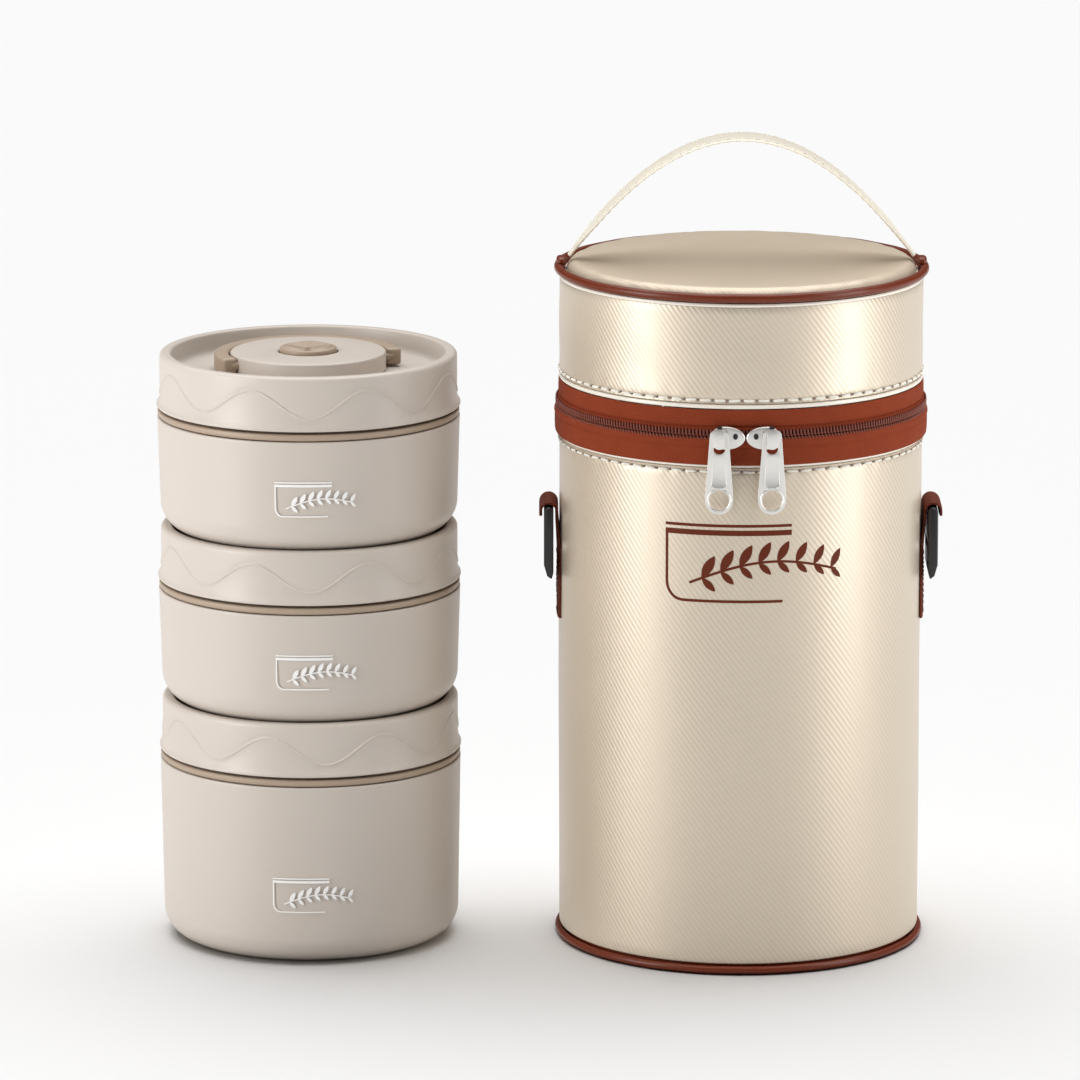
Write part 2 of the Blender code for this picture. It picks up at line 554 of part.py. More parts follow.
def make_side_tab(name, side, cloth):
    """A webbing tab sewn to the bag's side, and the buckle that swings in its loop."""
    strip = BAG_RADIUS + GAP + TAB_THICKNESS / 2
    loop = strip + TAB_LOOP_RADIUS
    path = [Vector((strip, 0.0, TAB_FOOT)), Vector((strip, 0.0, TAB_LOOP_HEIGHT - 2 * MM))]
    path += [
        Vector((loop - TAB_LOOP_RADIUS * math.cos(a), 0.0, TAB_LOOP_HEIGHT + TAB_LOOP_RADIUS * math.sin(a)))
        for a in steps_of(0.0, math.pi, 10)
    ]
    path += [Vector((loop + TAB_LOOP_RADIUS, 0.0, TAB_LOOP_HEIGHT - 2 * MM))]
    bm = strip_mesh(path, [TAB_WIDTH / 2] * len(path), TAB_THICKNESS)
    turn_to_side(make_object(f"side_tab_{name}", bm, cloth["tape"]), side)

    half = BUCKLE_THICKNESS / 2
    outline = [(-half, -BUCKLE_LENGTH), (half, BUCKLE_TIP_SLOPE - BUCKLE_LENGTH)]
    outline += [(half * math.cos(a), half * math.sin(a)) for a in steps_of(0.0, math.pi, 6)]
    width = TAB_WIDTH / 2 + BUCKLE_SIDE_CLEARANCE + BUCKLE_ARM
    buckle = make_object(f"side_buckle_{name}", extruded_mesh(outline, -width, width), cloth["black"])
    for start in (BUCKLE_BAR, BUCKLE_LOWER_SLOT):
        low = (-BUCKLE_THICKNESS, -width + BUCKLE_ARM, -start - BUCKLE_SLOT)
        high = (BUCKLE_THICKNESS, width - BUCKLE_ARM, -start)
        combine(buckle, box_mesh(low, high), "DIFFERENCE")
    buckle.location = (side * loop, 0.0, TAB_LOOP_HEIGHT)
    turn_to_side(buckle, side)


def turn_to_side(obj, side):
    if side < 0:
        obj.rotation_euler.z = math.pi


def main():
    for obj in list(bpy.data.objects):
        bpy.data.objects.remove(obj, do_unlink=True)

    plastics = {
        "shell": make_material("beige plastic", (0.62, 0.56, 0.49), 0.45),
        "accent": make_material("taupe plastic", (0.30, 0.22, 0.16), 0.45),
        "plate": make_material("white plastic", (0.78, 0.76, 0.72), 0.45),
        "steel": make_material("brushed steel", (0.62, 0.62, 0.60), 0.3, 1.0),
        "silicone": make_material("clear silicone", (0.75, 0.74, 0.72), 0.6),
    }
    cloth = {
        "cream": make_material("cream leatherette", (0.80, 0.71, 0.58), 0.4),
        "brown": make_material("brown piping", (0.20, 0.05, 0.025), 0.45),
        "tape": make_material("brown webbing", (0.21, 0.045, 0.018), 0.8),
        "coil": make_material("zip coil", (0.07, 0.02, 0.012), 0.5),
        "foil": make_material("silver lining", (0.7, 0.7, 0.7), 0.35, 0.8),
        "black": make_material("black buckle", (0.012, 0.010, 0.009), 0.4),
    }
    silver = make_material("silver zip metal", (0.80, 0.79, 0.76), 0.3, 1.0)

    bottom = 0.0
    for level in BODY_HEIGHT:
        bottom = make_food_box(level, bottom, plastics) - NEST_DROP

    make_bag_body(cloth)
    make_bag_lid(cloth)
    make_zip_half("lower", -1, cloth)
    make_zip_half("upper", 1, cloth)
    make_carry_handle(cloth)
    for name, side in (("left", -1), ("right", 1)):
        make_slider(name, side, silver)
        make_side_tab(name, side, cloth)


main()
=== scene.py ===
import math
from contextlib import contextmanager

import bpy
import numpy as np
from mathutils import Matrix, Vector
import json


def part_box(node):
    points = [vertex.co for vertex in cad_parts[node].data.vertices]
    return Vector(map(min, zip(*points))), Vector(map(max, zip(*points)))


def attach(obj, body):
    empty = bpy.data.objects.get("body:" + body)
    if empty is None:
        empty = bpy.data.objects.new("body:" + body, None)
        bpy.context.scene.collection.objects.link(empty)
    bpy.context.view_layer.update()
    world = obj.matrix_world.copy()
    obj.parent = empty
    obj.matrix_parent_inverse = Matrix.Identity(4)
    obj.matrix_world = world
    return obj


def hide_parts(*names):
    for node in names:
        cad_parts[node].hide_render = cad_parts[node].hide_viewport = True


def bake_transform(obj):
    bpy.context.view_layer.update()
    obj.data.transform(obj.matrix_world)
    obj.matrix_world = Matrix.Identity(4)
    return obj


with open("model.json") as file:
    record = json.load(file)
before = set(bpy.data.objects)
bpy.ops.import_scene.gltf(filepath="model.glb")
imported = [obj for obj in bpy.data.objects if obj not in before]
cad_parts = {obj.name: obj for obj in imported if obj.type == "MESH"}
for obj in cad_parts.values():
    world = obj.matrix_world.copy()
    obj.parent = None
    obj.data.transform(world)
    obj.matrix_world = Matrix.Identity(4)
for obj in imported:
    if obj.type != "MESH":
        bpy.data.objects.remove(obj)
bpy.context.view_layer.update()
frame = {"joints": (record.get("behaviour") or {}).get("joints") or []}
print("frame loaded")

mm = 0.001
tau = 2 * math.pi
levels = ("lower", "middle", "upper")


# shader arithmetic: a socket that can be added, multiplied and so on
class Wire:
    def __init__(self, look, socket):
        self.look = look
        self.socket = socket

    def do(self, operation, *others):
        return self.look.maths(operation, self, *others)

    def clamped(self, low=0.0, high=1.0):
        return self.do("MAXIMUM", low).do("MINIMUM", high)

    def __add__(self, other):
        return self.do("ADD", other)

    def __sub__(self, other):
        return self.do("SUBTRACT", other)

    def __rsub__(self, other):
        return self.look.maths("SUBTRACT", other, self)

    def __mul__(self, other):
        return self.do("MULTIPLY", other)

    def __truediv__(self, other):
        return self.do("DIVIDE", other)

    def __rtruediv__(self, other):
        return self.look.maths("DIVIDE", other, self)

    __radd__, __rmul__ = __add__, __mul__


class Look:
    def __init__(self, name, colour, roughness, metallic=0.0, **sockets):
        self.material = bpy.data.materials.new(name)
        self.material.use_nodes = True
        self.tree = self.material.node_tree
        self.shader = self.tree.nodes["Principled BSDF"]
        self.colour = (*colour, 1.0)
        self.roughness = roughness
        self.normal = None
        self.shader.inputs["Base Color"].default_value = self.colour
        self.shader.inputs["Roughness"].default_value = roughness
        self.shader.inputs["Metallic"].default_value = metallic
        for key, value in sockets.items():
            self.shader.inputs[key.replace("_", " ")].default_value = value

    def add(self, kind, settings=None, inputs=None, output=0):
        made = self.tree.nodes.new(kind)
        for key, value in (settings or {}).items():
            setattr(made, key, value)
        for key, value in (inputs or {}).items():
            self.feed(made.inputs[key], value)
        return Wire(self, made.outputs[output])

    def feed(self, socket, value):
        if isinstance(value, Wire):
            self.tree.links.new(value.socket, socket)
        else:
            socket.default_value = value

    def maths(self, operation, *numbers):
        return self.add("ShaderNodeMath", {"operation": operation}, dict(enumerate(numbers)))

    def place(self, centre=(0, 0, 0), stretch=(1, 1, 1)):
        point = self.add("ShaderNodeTexCoord", output=3)
        moved = self.add("ShaderNodeVectorMath", {"operation": "SUBTRACT"}, {0: point, 1: centre})
        return self.add("ShaderNodeVectorMath", {"operation": "MULTIPLY"}, {0: moved, 1: stretch})

    def axes(self, point):
        split = self.add("ShaderNodeSeparateXYZ", inputs={0: point}).socket.node
        return [Wire(self, out) for out in split.outputs]

    def noise(self, point, scale, detail=2.0, output=0):
        inputs = {"Vector": point, "Scale": scale, "Detail": detail}
        return self.add("ShaderNodeTexNoise", {}, inputs, output)

    def turnsRound(self, centre=(0, 0, 0)):
        x, y, z = self.axes(self.place(centre))
        return y.do("ARCTAN2", x) / tau, z, (x * x + y * y).do("SQRT")

    def mixed(self, share, first, second):
        inputs = {0: share, 6: first, 7: second}
        return self.add("ShaderNodeMix", {"data_type": "RGBA"}, inputs, 2)

    # the colour varies between shades of one base, never away from it
    def shaded(self, share, dark, light=1.0):
        pair = [tuple(c * k for c in self.colour[:3]) + (1.0,) for k in (dark, light)]
        self.feed(self.shader.inputs["Base Color"], self.mixed(share, *pair))

    def rough(self, share, spread):
        self.feed(self.shader.inputs["Roughness"], share * spread + (self.roughness - spread / 2))

    def bump(self, height, depth, strength=1.0):
        inputs = {"Height": height, "Distance": depth * mm, "Strength": strength}
        if self.normal is not None:
            inputs["Normal"] = self.normal
        self.normal = self.add("ShaderNodeBump", {}, inputs)
        self.feed(self.shader.inputs["Normal"], self.normal)


def moulded(name, colour, roughness=0.42, grain=0.012, **sockets):
    look = Look(name, colour, roughness, **sockets)
    point = look.place()
    cloud = look.noise(point, 28, 3)
    look.shaded(cloud, 0.965, 1.02)
    look.rough(look.noise(point, 60, 4), 0.1)
    look.bump(look.noise(point, 4200, 2), grain, 0.6)
    look.bump(look.noise(point, 45, 1), 0.05, 0.35)
    return look.material


def leatherette(name, colour, roughness, across, rise, flat=False, pearl=0.2):
    look = Look(name, colour, roughness, metallic=pearl, Coat_Weight=0.25, Coat_Roughness=0.25)
    point = look.place()
    if flat:
        x, y = look.axes(point)[:2]
        phase = (x + y * 0.78) * (tau / across)
    else:
        turn, z = look.turnsRound()[:2]
        phase = turn * (tau * across) + z * (tau / rise)
    ridge = phase.do("SINE") * 0.5 + 0.5
    grain = look.noise(point, 2600, 3)
    cloud = look.noise(point, 22, 3)
    look.shaded((ridge * 0.55 + cloud * 0.35 + grain * 0.1).clamped(), 0.90, 1.04)
    look.rough(cloud * 0.6 + grain * 0.4, 0.12)
    look.bump(ridge, 0.11, 0.55)
    look.bump(grain, 0.035, 0.5)
    look.bump(look.noise(point, 38, 2), 0.5, 0.22)
    return look.material


def woven(name, colour, pitch, roughness=0.72, ribs=None, depth=0.16, straight=False):
    look = Look(name, colour, roughness, Specular_IOR_Level=0.2)
    point = look.place()
    y, z = look.axes(point)[1:]
    along = y * (tau / (pitch * mm))
    if not straight:
        turn, z = look.turnsRound()[:2]
        along = turn * (tau * ribs)
    up = z * (tau / (pitch * 0.8 * mm))
    warp = along.do("SINE")
    weft = (up + warp * 0.5).do("SINE")
    cell = warp * weft * 0.5 + 0.5
    fibre = look.noise(look.place(stretch=(1, 1, 0.25)), 2400, 3)
    cloud = look.noise(point, 120, 3)
    look.shaded((cell * 0.5 + fibre * 0.3 + cloud * 0.2).clamped(), 0.45, 1.45)
    look.rough(fibre, 0.15)
    look.bump(cell, depth, 0.8)
    look.bump(fibre, 0.05, 0.6)
    return look.material


def foil(name):
    look = Look(name, (0.72, 0.73, 0.74), 0.3, metallic=0.75)
    turn, z, radius = look.turnsRound()
    left = (turn * (tau * 12) + z * (tau / (38 * mm))).do("SINE").do("ABSOLUTE")
    right = (turn * (tau * 12) - z * (tau / (38 * mm))).do("SINE").do("ABSOLUTE")
    wallQuilt = left.do("MINIMUM", right)
    x, y = look.axes(look.place())[:2]
    left = ((x + y) * (tau / (54 * mm))).do("SINE").do("ABSOLUTE")
    right = ((x - y) * (tau / (54 * mm))).do("SINE").do("ABSOLUTE")
    flat = radius.do("LESS_THAN", 71.4 * mm)
    quilt = (wallQuilt * (1 - flat) + left.do("MINIMUM", right) * flat).do("POWER", 0.4)
    creases = look.noise(look.place(), 260, 4)
    # the quilt seams and creases are coloured darker: painted shade in the quilt lines and creases
    look.shaded((quilt * 0.6 + creases * 0.4).clamped(), 0.82, 1.03)
    look.rough(creases, 0.2)
    look.bump(quilt, 0.8, 0.7)
    look.bump(creases, 0.35, 0.6)
    return look.material


def steel(name, centre):
    look = Look(name, (0.66, 0.65, 0.63), 0.27, metallic=1.0)
    turn, z, radius = look.turnsRound(centre)
    lines = look.add("ShaderNodeCombineXYZ", inputs={0: radius * 2600, 1: z * 2600, 2: turn * 3})
    brushed = look.noise(lines, 1.0, 2)
    marks = look.noise(look.place(), 90, 4)
    look.shaded((brushed * 0.7 + marks * 0.3).clamped(), 0.9, 1.04)
    look.rough(brushed * 0.6 + marks * 0.4, 0.16)
    look.bump(brushed, 0.012, 0.5)
    return look.material


def plain(name, colour, roughness, grain=0.02, scale=2200, **sockets):
    look = Look(name, colour, roughness, **sockets)
    point = look.place()
    look.shaded(look.noise(point, 70, 3), 0.92, 1.05)
    look.rough(look.noise(point, 150, 3), 0.12)
    look.bump(look.noise(point, scale, 2), grain, 0.5)
    return look.material


beige = (0.59, 0.525, 0.465)
cream = (0.705, 0.608, 0.484)
rust = (0.25, 0.040, 0.012)
soft = {"Specular_IOR_Level": 0.3, "Coat_Weight": 0.15, "Coat_Roughness": 0.2}
looks = {
    "beige": moulded("beige moulded plastic", beige),
    "taupe": moulded("taupe moulded plastic", (0.40, 0.305, 0.225), 0.45),
    "white": moulded("white moulded plastic", (0.80, 0.78, 0.73), 0.4),
    "silicone": plain("milky silicone", (0.80, 0.79, 0.76), 0.5, 0.015, Subsurface_Weight=0.1),
    "cream": leatherette("cream twill leatherette", cream, 0.45, 200, 3.2 * mm, pearl=0.48),
    "creamFlat": leatherette("cream twill panel", (0.66, 0.55, 0.42), 0.42, 2.5 * mm, 1, flat=True),
    # the folded edges are a lighter cream than the wall: a painted highlight along the fold
    "edge": plain("folded cream edge painted with highlight", (0.90, 0.84, 0.74), 0.36, 0.05, 900, Coat_Weight=0.3),
    "strap": plain("cream strap leatherette", (0.84, 0.78, 0.655), 0.42, 0.05, 1500, Coat_Weight=0.15),
    "piping": plain("red brown piping", (0.15, 0.022, 0.004), 0.42, 0.05, 1200, **soft),
    "tape": woven("rust zip tape", rust, 1.15, 0.85, ribs=440),
    "webbing": woven("brown webbing", (0.135, 0.026, 0.010), 1.5, straight=True, depth=0.3),
    "coil": plain("zip coil nylon", (0.17, 0.028, 0.009), 0.4, 0.01),
    "black": plain("black acetal", (0.012, 0.011, 0.011), 0.36, 0.02),
    "zipShadowSheet": plain("painted shadow in the zip gap", (0.02, 0.008, 0.006), 0.8),
    "metal": plain("painted zip metal", (0.80, 0.78, 0.745), 0.3, 0.015, 700, metallic=0.7, Coat_Weight=0.4),
    "thread": woven("cream thread", (0.90, 0.87, 0.79), 0.5, straight=True, depth=0.05),
    "hole": plain("painted shade of needle holes", (0.24, 0.18, 0.13), 0.8),
    "brownThread": woven("brown thread", (0.10, 0.03, 0.018), 0.5, straight=True, depth=0.05),
    "print": plain("brown print ink", (0.13, 0.022, 0.006), 0.6, Specular_IOR_Level=0.2),
    "whitePrint": plain("white print ink", (0.93, 0.92, 0.90), 0.45),
    "foil": foil("quilted foil lining"),
}
print("looks made")


def named(name):
    obj = bpy.context.object
    obj.name = name
    obj.data.name = name
    return obj


# a new piece, begun from one primitive
def begun(name, primitive, **settings):
    bpy.ops.object.select_all(action="DESELECT")
    primitive(**settings)
    return named(name)


def select(obj):
    bpy.ops.object.select_all(action="DESELECT")
    obj.select_set(True)
    bpy.context.view_layer.objects.active = obj


# edit mode on all of a piece, with its faces turned outward at the end
@contextmanager
def editing(obj):
    select(obj)
    bpy.ops.object.mode_set(mode="EDIT")
    bpy.ops.mesh.select_all(action="SELECT")
    yield
    bpy.ops.mesh.select_all(action="SELECT")
    bpy.ops.mesh.normals_make_consistent(inside=False)
    bpy.ops.object.mode_set(mode="OBJECT")


def cleaned(obj, within=0.004):
    with editing(obj):
        bpy.ops.mesh.remove_doubles(threshold=within * mm)
    return obj


# faces over the open ends
def capped(obj):
    with editing(obj):
        bpy.ops.mesh.select_all(action="DESELECT")
        bpy.ops.mesh.select_non_manifold()
        bpy.ops.mesh.edge_face_add()
    return obj


# a line of (radius, height) points in mm, turned about the upright axis
def turned(name, outline, sides=128, first=0.0, sweep=360.0):
    line = [Vector((radius * mm, 0, height * mm)) for radius, height in outline]
    obj = begun(name, bpy.ops.mesh.primitive_plane_add, size=mm)
    with editing(obj):
        bpy.ops.mesh.merge(type="CENTER")
        bpy.ops.transform.translate(value=line[0])
        for here, there in zip(line, line[1:]):
            bpy.ops.mesh.extrude_vertices_move(TRANSFORM_OT_translate={"value": there - here})
        bpy.ops.mesh.select_all(action="SELECT")
        if first:
            bpy.ops.transform.rotate(value=-math.radians(first), orient_axis="Z", center_override=(0, 0, 0))
        bpy.ops.mesh.spin(steps=sides, angle=-math.radians(sweep), center=(0, 0, 0), axis=(0, 0, 1))
    return cleaned(obj)


# a sheet of across x along cells, each corner put where the rule says
def laid(name, across, along, rule, thickness=0.0):
    obj = begun(name, bpy.ops.mesh.primitive_grid_add, x_subdivisions=across, y_subdivisions=along, size=1)
    corners = points(obj)
    put(obj, rule(corners[:, 0] + 0.5, corners[:, 1] + 0.5) * mm)
    cleaned(obj)
    if thickness:
        modify(obj, "SOLIDIFY", thickness=thickness * mm, offset=-1, use_even_offset=False)
    return obj


def points(obj):
    found = np.empty(len(obj.data.vertices) * 3)
    obj.data.vertices.foreach_get("co", found)
    return found.reshape(-1, 3)


def put(obj, places):
    obj.data.vertices.foreach_set("co", np.ascontiguousarray(places, np.float32).ravel())
    obj.data.update()


# each place's distance from the upright axis, and its angle round it
def ringed(places):
    return np.hypot(places[:, 0], places[:, 1]), np.arctan2(places[:, 1], places[:, 0])


# moves each place away from the upright axis by its own amount
def spread(places, out):
    radius = np.maximum(ringed(places)[0], 1)
    places[:, :2] *= (1 + out / radius)[:, None]


def modify(obj, kind, **settings):
    select(obj)
    modifier = obj.modifiers.new(kind.title(), kind)
    for key, value in settings.items():
        setattr(modifier, key, value)
    bpy.ops.object.modifier_apply(modifier=modifier.name)
    return obj


def bevelled(obj, width, segments=3, angle=32):
    limit = math.radians(angle)
    return modify(obj, "BEVEL", width=width * mm, segments=segments, limit_method="ANGLE", angle_limit=limit)


# a move by mm, and turns in radians
def moved(x=0.0, y=0.0, z=0.0):
    return Matrix.Translation((x * mm, y * mm, z * mm))


def about(axis, radians):
    return Matrix.Rotation(radians, 4, axis)


def shifted(obj, x=0.0, y=0.0, z=0.0, turn=0.0):
    obj.data.transform(moved(x, y, z) @ about("Z", math.radians(turn)))
    return obj


def joined(name, parts):
    bpy.ops.object.select_all(action="DESELECT")
    for part in parts:
        part.select_set(True)
    bpy.context.view_layer.objects.active = parts[0]
    bpy.ops.object.join()
    return named(name)


def copied(name, source, spots):
    parts = []
    for spot in spots:
        part = source.copy()
        part.data = source.data.copy()
        part.data.transform(spot)
        bpy.context.scene.collection.objects.link(part)
        parts.append(part)
    bpy.data.objects.remove(source)
    return joined(name, parts)


def cut(obj, tool):
    modify(obj, "BOOLEAN", operation="DIFFERENCE", solver="EXACT", object=tool)
    bpy.data.objects.remove(tool)
    return obj


def ready(obj, look, body, replaces=(), angle=38):
    select(obj)
    bpy.ops.object.shade_smooth_by_angle(angle=math.radians(angle))
    obj.data.materials.clear()
    obj.data.materials.append(looks[look] if isinstance(look, str) else look)
    if body:
        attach(obj, body)
    if replaces:
        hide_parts(*replaces)
    return obj


def arc(radius, height, size, first, last, count):
    turns = np.radians(np.linspace(first, last, count + 1))
    return [(radius + size * math.cos(a), height + size * math.sin(a)) for a in turns]


def polar(degrees, radius, height):
    a = np.radians(degrees)
    return np.stack([radius * np.cos(a), radius * np.sin(a), height + 0 * a], axis=1)


def eased(share):
    share = np.clip(share, 0, 1)
    return share * share * (3 - 2 * share)


def capsule(length, radius, sides=8, rings=6):
    sphere = bpy.ops.mesh.primitive_uv_sphere_add
    obj = begun("capsule", sphere, segments=sides, ring_count=rings, radius=radius * mm)
    places = points(obj)
    places[:, 2] += np.sign(np.round(places[:, 2], 6)) * (length / 2 - radius) * mm
    put(obj, places)
    return obj


# a node's middle, its foot and top, and half its width, in mm
def measured(node):
    low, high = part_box(node)
    x, y = ((low[k] + high[k]) / 2 / mm for k in (0, 1))
    return x, y, low.z / mm, high.z / mm, (high.x - low.x) / 2 / mm


# --- food boxes
foodBox = {"sides": 160, "fillet": 12.5, "foot": 52.5, "floor": 65.0, "wall": 2.0}
lidPart = {"waves": 8, "crest": 17.3, "trough": 5.6, "low": 1.7, "high": 20.9, "ridge": 0.45, "deck": 15.0}
bail = {"inner": 34.6, "outer": 41.1, "low": 16.0, "high": 23.2, "half": 99.6, "middle": 109.0, "pivot": 98.0}
# how far each level's lid parts are turned, and where its print starts and stands
waveFront = {"lower": 8.0, "middle": 2.0, "upper": 2.0}
buttonTurn = {"lower": 25.0, "middle": 0.0, "upper": 0.0}
bailTurn = {"lower": 105.0, "middle": 0.0, "upper": 0.0}
printSpot = {"lower": (-15.0, 24), "middle": (-13.0, 17), "upper": (-13.0, 17)}


def boxPlace(level):
    x, y, _, high, wide = measured(f"{level}_base_shell")
    foot = measured(f"{level}_foot_ring")[2]
    return x, y, foot, high - foot, wide


# a turned part of one box that takes its node's place
def boxPart(level, node, outline, sides, look, body, angle=38):
    x, y = measured(f"{level}_{node}")[:2]
    obj = turned(level + node.title().replace("_", ""), outline, sides)
    shifted(obj, x, y)
    return ready(obj, look, f"{level}_{body}", (f"{level}_{node}",), angle)


def baseShell(level):
    x, y, z, height, top = boxPlace(level)
    foot, fillet, floor, wall = foodBox["foot"], foodBox["fillet"], foodBox["floor"], foodBox["wall"]
    outline = [(0, 4.7), (14, 4.7), (14.6, 4.3), (15.2, 4.7), (44.8, 4.7), (46.2, 4.2)]
    outline += [(46.9, 0.7), (47.6, 0.05), (48.4, 0)] + arc(foot, fillet, fillet, -90, 0, 14)
    outline += [(top - 0.1, height - 1.6), (top, height - 0.9)]
    outline += arc(top - 0.6, height - 0.6, 0.6, 0, 90, 4)[1:] + [(top - wall, height)]
    outline += [(floor - wall, fillet + 1), (floor - wall - 4, 7.4), (56, 6.7), (0, 6.7)]
    obj = turned(f"{level}BaseShell", outline, foodBox["sides"])
    shifted(obj, x, y, z)
    ready(obj, "beige", f"{level}_base", (f"{level}_base_shell", f"{level}_foot_ring"))


def collar(level):
    low, high, outer = measured(f"{level}_collar")[2:]
    step, neck = low + 3.0, 59.5
    outline = [(neck, low), (outer - 1.3, low), (outer - 0.55, low + 0.25), (outer - 0.1, low + 0.9)]
    outline += [(outer, low + 1.7), (outer - 0.1, step - 0.4), (outer - 0.5, step), (62.1, step)]
    outline += [(61.6, step + 0.2), (61.4, step + 0.8), (61.4, high - 0.4), (61.0, high)]
    outline += [(neck + 0.3, high), (neck, high - 0.3), (neck, low)]
    boxPart(level, "collar", outline, foodBox["sides"], "taupe", "base")


def liner(level):
    x, y, low, high, lip = measured(f"{level}_liner")
    outline = [(0, low), (49, low)] + arc(49.5, low + 5, 5, -85, -8, 8)
    outline += [(59.15, high - 1.4), (59.5, high - 0.8), (lip - 0.5, high - 0.8), (lip - 0.1, high - 0.6)]
    outline += [(lip, high - 0.3), (lip - 0.25, high - 0.05), (lip - 0.7, high), (59.4, high)]
    outline += [(58.75, high - 0.25), (58.4, high - 1.0), (58.1, high - 6), (57.8, high - 6.3)]
    outline += [(57.75, high - 7)] + arc(49.5, low + 5, 4.2, -8, -85, 8)
    outline += [(45, low + 0.8), (44.4, low + 1.1), (43.6, low + 1.1), (43, low + 0.8), (0, low + 0.8)]
    look = steel(f"{level} brushed steel", (x * mm, y * mm, 0))
    boxPart(level, "liner", outline, foodBox["sides"], look, "base")


# the wall's rings stand close together where the wave is to run
def lidCover(level):
    x, y, bottom, top, edge = measured(f"{level}_lid_cover")
    tall, deck = top - bottom, lidPart["deck"]
    wave = (lidPart["crest"] + lidPart["trough"]) / 2
    swing = (lidPart["crest"] - lidPart["trough"]) / 2
    low, high = lidPart["low"], lidPart["high"]
    outline = [(64.3, 0.1), (64.6, 0), (edge - 0.9, 0), (edge - 0.35, 0.15)]
    outline += [(edge - 0.05, 0.6), (edge - 0.1, 1.2)]
    rings = [low, 2.9, 4.3, 5.8, 7.4, 9.0, 10.1, 10.45, 10.7, 10.9, 11.1, 11.28, wave, 11.62]
    rings += [11.8, 12.0, 12.2, 12.45, 12.8, 13.9, 15.4, 17.1, 18.8, 20.0, high]
    outline += [(65.0 + 1.4 * max(0.0, 1 - h / 9.0) ** 1.6, h) for h in rings]
    outline += arc(63.1, tall - 1.9, 1.9, 12, 90, 8)
    outline += [(61.6, tall)] + arc(61.1, tall - 1.3, 1.3, 90, 165, 6)
    outline += [(59.6, 20.2), (59.35, 18.2)] + arc(56.4, deck + 2.9, 2.9, -8, -90, 8)
    outline += [(36, deck), (3.7, deck), (3.6, deck - 0.1), (3.6, 12.8), (61.5, 12.8), (62.6, 11.8)]
    outline += [(64.1, 1.2), (64.3, 0.1)]
    obj = turned(f"{level}LidCover", outline, 384)
    places = points(obj) / mm
    radius, angle = ringed(places)
    h = places[:, 2].copy()
    wall = (radius > 64.7) & (h > low - 0.01) & (h < high + 0.01)
    share = np.where(h < wave, (h - low) / (wave - 1.2 - low), (high - h) / (high - wave - 1.2))
    phase = (angle + np.radians(90 - waveFront[level])) * lidPart["waves"]
    offset = h - wave
    # a fine ridge along the wave, with the wall sunk a little above it
    above = (1 + np.tanh(offset / 0.2)) / 2
    ridge = lidPart["ridge"] * np.exp(-((offset / 0.38) ** 2)) - 0.2 * above * np.exp(-((offset / 2.0) ** 2))
    spread(places, np.where(wall, ridge, 0))
    places[:, 2] = np.where(wall, h - np.cos(phase) * swing * np.clip(share, 0, 1), h)
    put(obj, places * mm)
    shifted(obj, x, y, bottom)
    ready(obj, "beige", f"{level}_lid", (f"{level}_lid_cover",), angle=50)


def hub(level):
    bottom, top, wide = measured(f"{level}_lid_hub")[2:]
    hole, well = 3.7, 13.2
    outline = [(hole, bottom), (wide - 0.4, bottom), (wide, bottom + 0.5)]
    outline += arc(wide - 0.9, top - 0.9, 0.9, 0, 90, 5)
    outline += arc(well + 0.6, top - 0.6, 0.6, 90, 180, 4)
    outline += [(well, top - 4.6), (well - 0.4, top - 5), (hole, top - 5), (hole, bottom)]
    boxPart(level, "lid_hub", outline, 160, "beige", "lid")


def plate(level):
    bottom, top, wide = measured(f"{level}_lid_plate")[2:]
    hole, under = 3.7, top - 2
    outline = [(hole, top), (wide - 0.3, top), (wide, top - 0.3), (wide, top - 1.7), (wide - 0.3, under)]
    outline += [(57.9, under), (57.5, under - 0.4), (57.5, bottom + 0.6)]
    outline += arc(56.9, bottom + 0.5, 0.5, -20, -160, 5)
    outline += [(55.9, bottom + 0.8), (55.5, under - 0.4), (55.1, under)]
    for ring in (40, 26, 12):
        outline += [(ring + 1.2, under), (ring + 0.8, under - 0.7)]
        outline += [(ring - 0.8, under - 0.7), (ring - 1.2, under)]
    outline += [(hole, under), (hole, top)]
    boxPart(level, "lid_plate", outline, 144, "white", "lid")


def gasket(level):
    bottom, top, wide = measured(f"{level}_gasket")[2:]
    inner = wide - 4.3
    outline = [(inner, bottom + 0.4), (inner + 0.4, bottom), (inner + 1.5, bottom)]
    outline += [(inner + 1.9, bottom + 1.3), (inner + 2.4, bottom + 1.3), (inner + 2.8, bottom)]
    outline += [(wide - 0.4, bottom), (wide, bottom + 0.5), (wide, top - 0.5), (wide - 0.5, top)]
    outline += [(inner + 0.5, top), (inner, top - 0.5), (inner, bottom + 0.4)]
    boxPart(level, "gasket", outline, 144, "silicone", "lid")


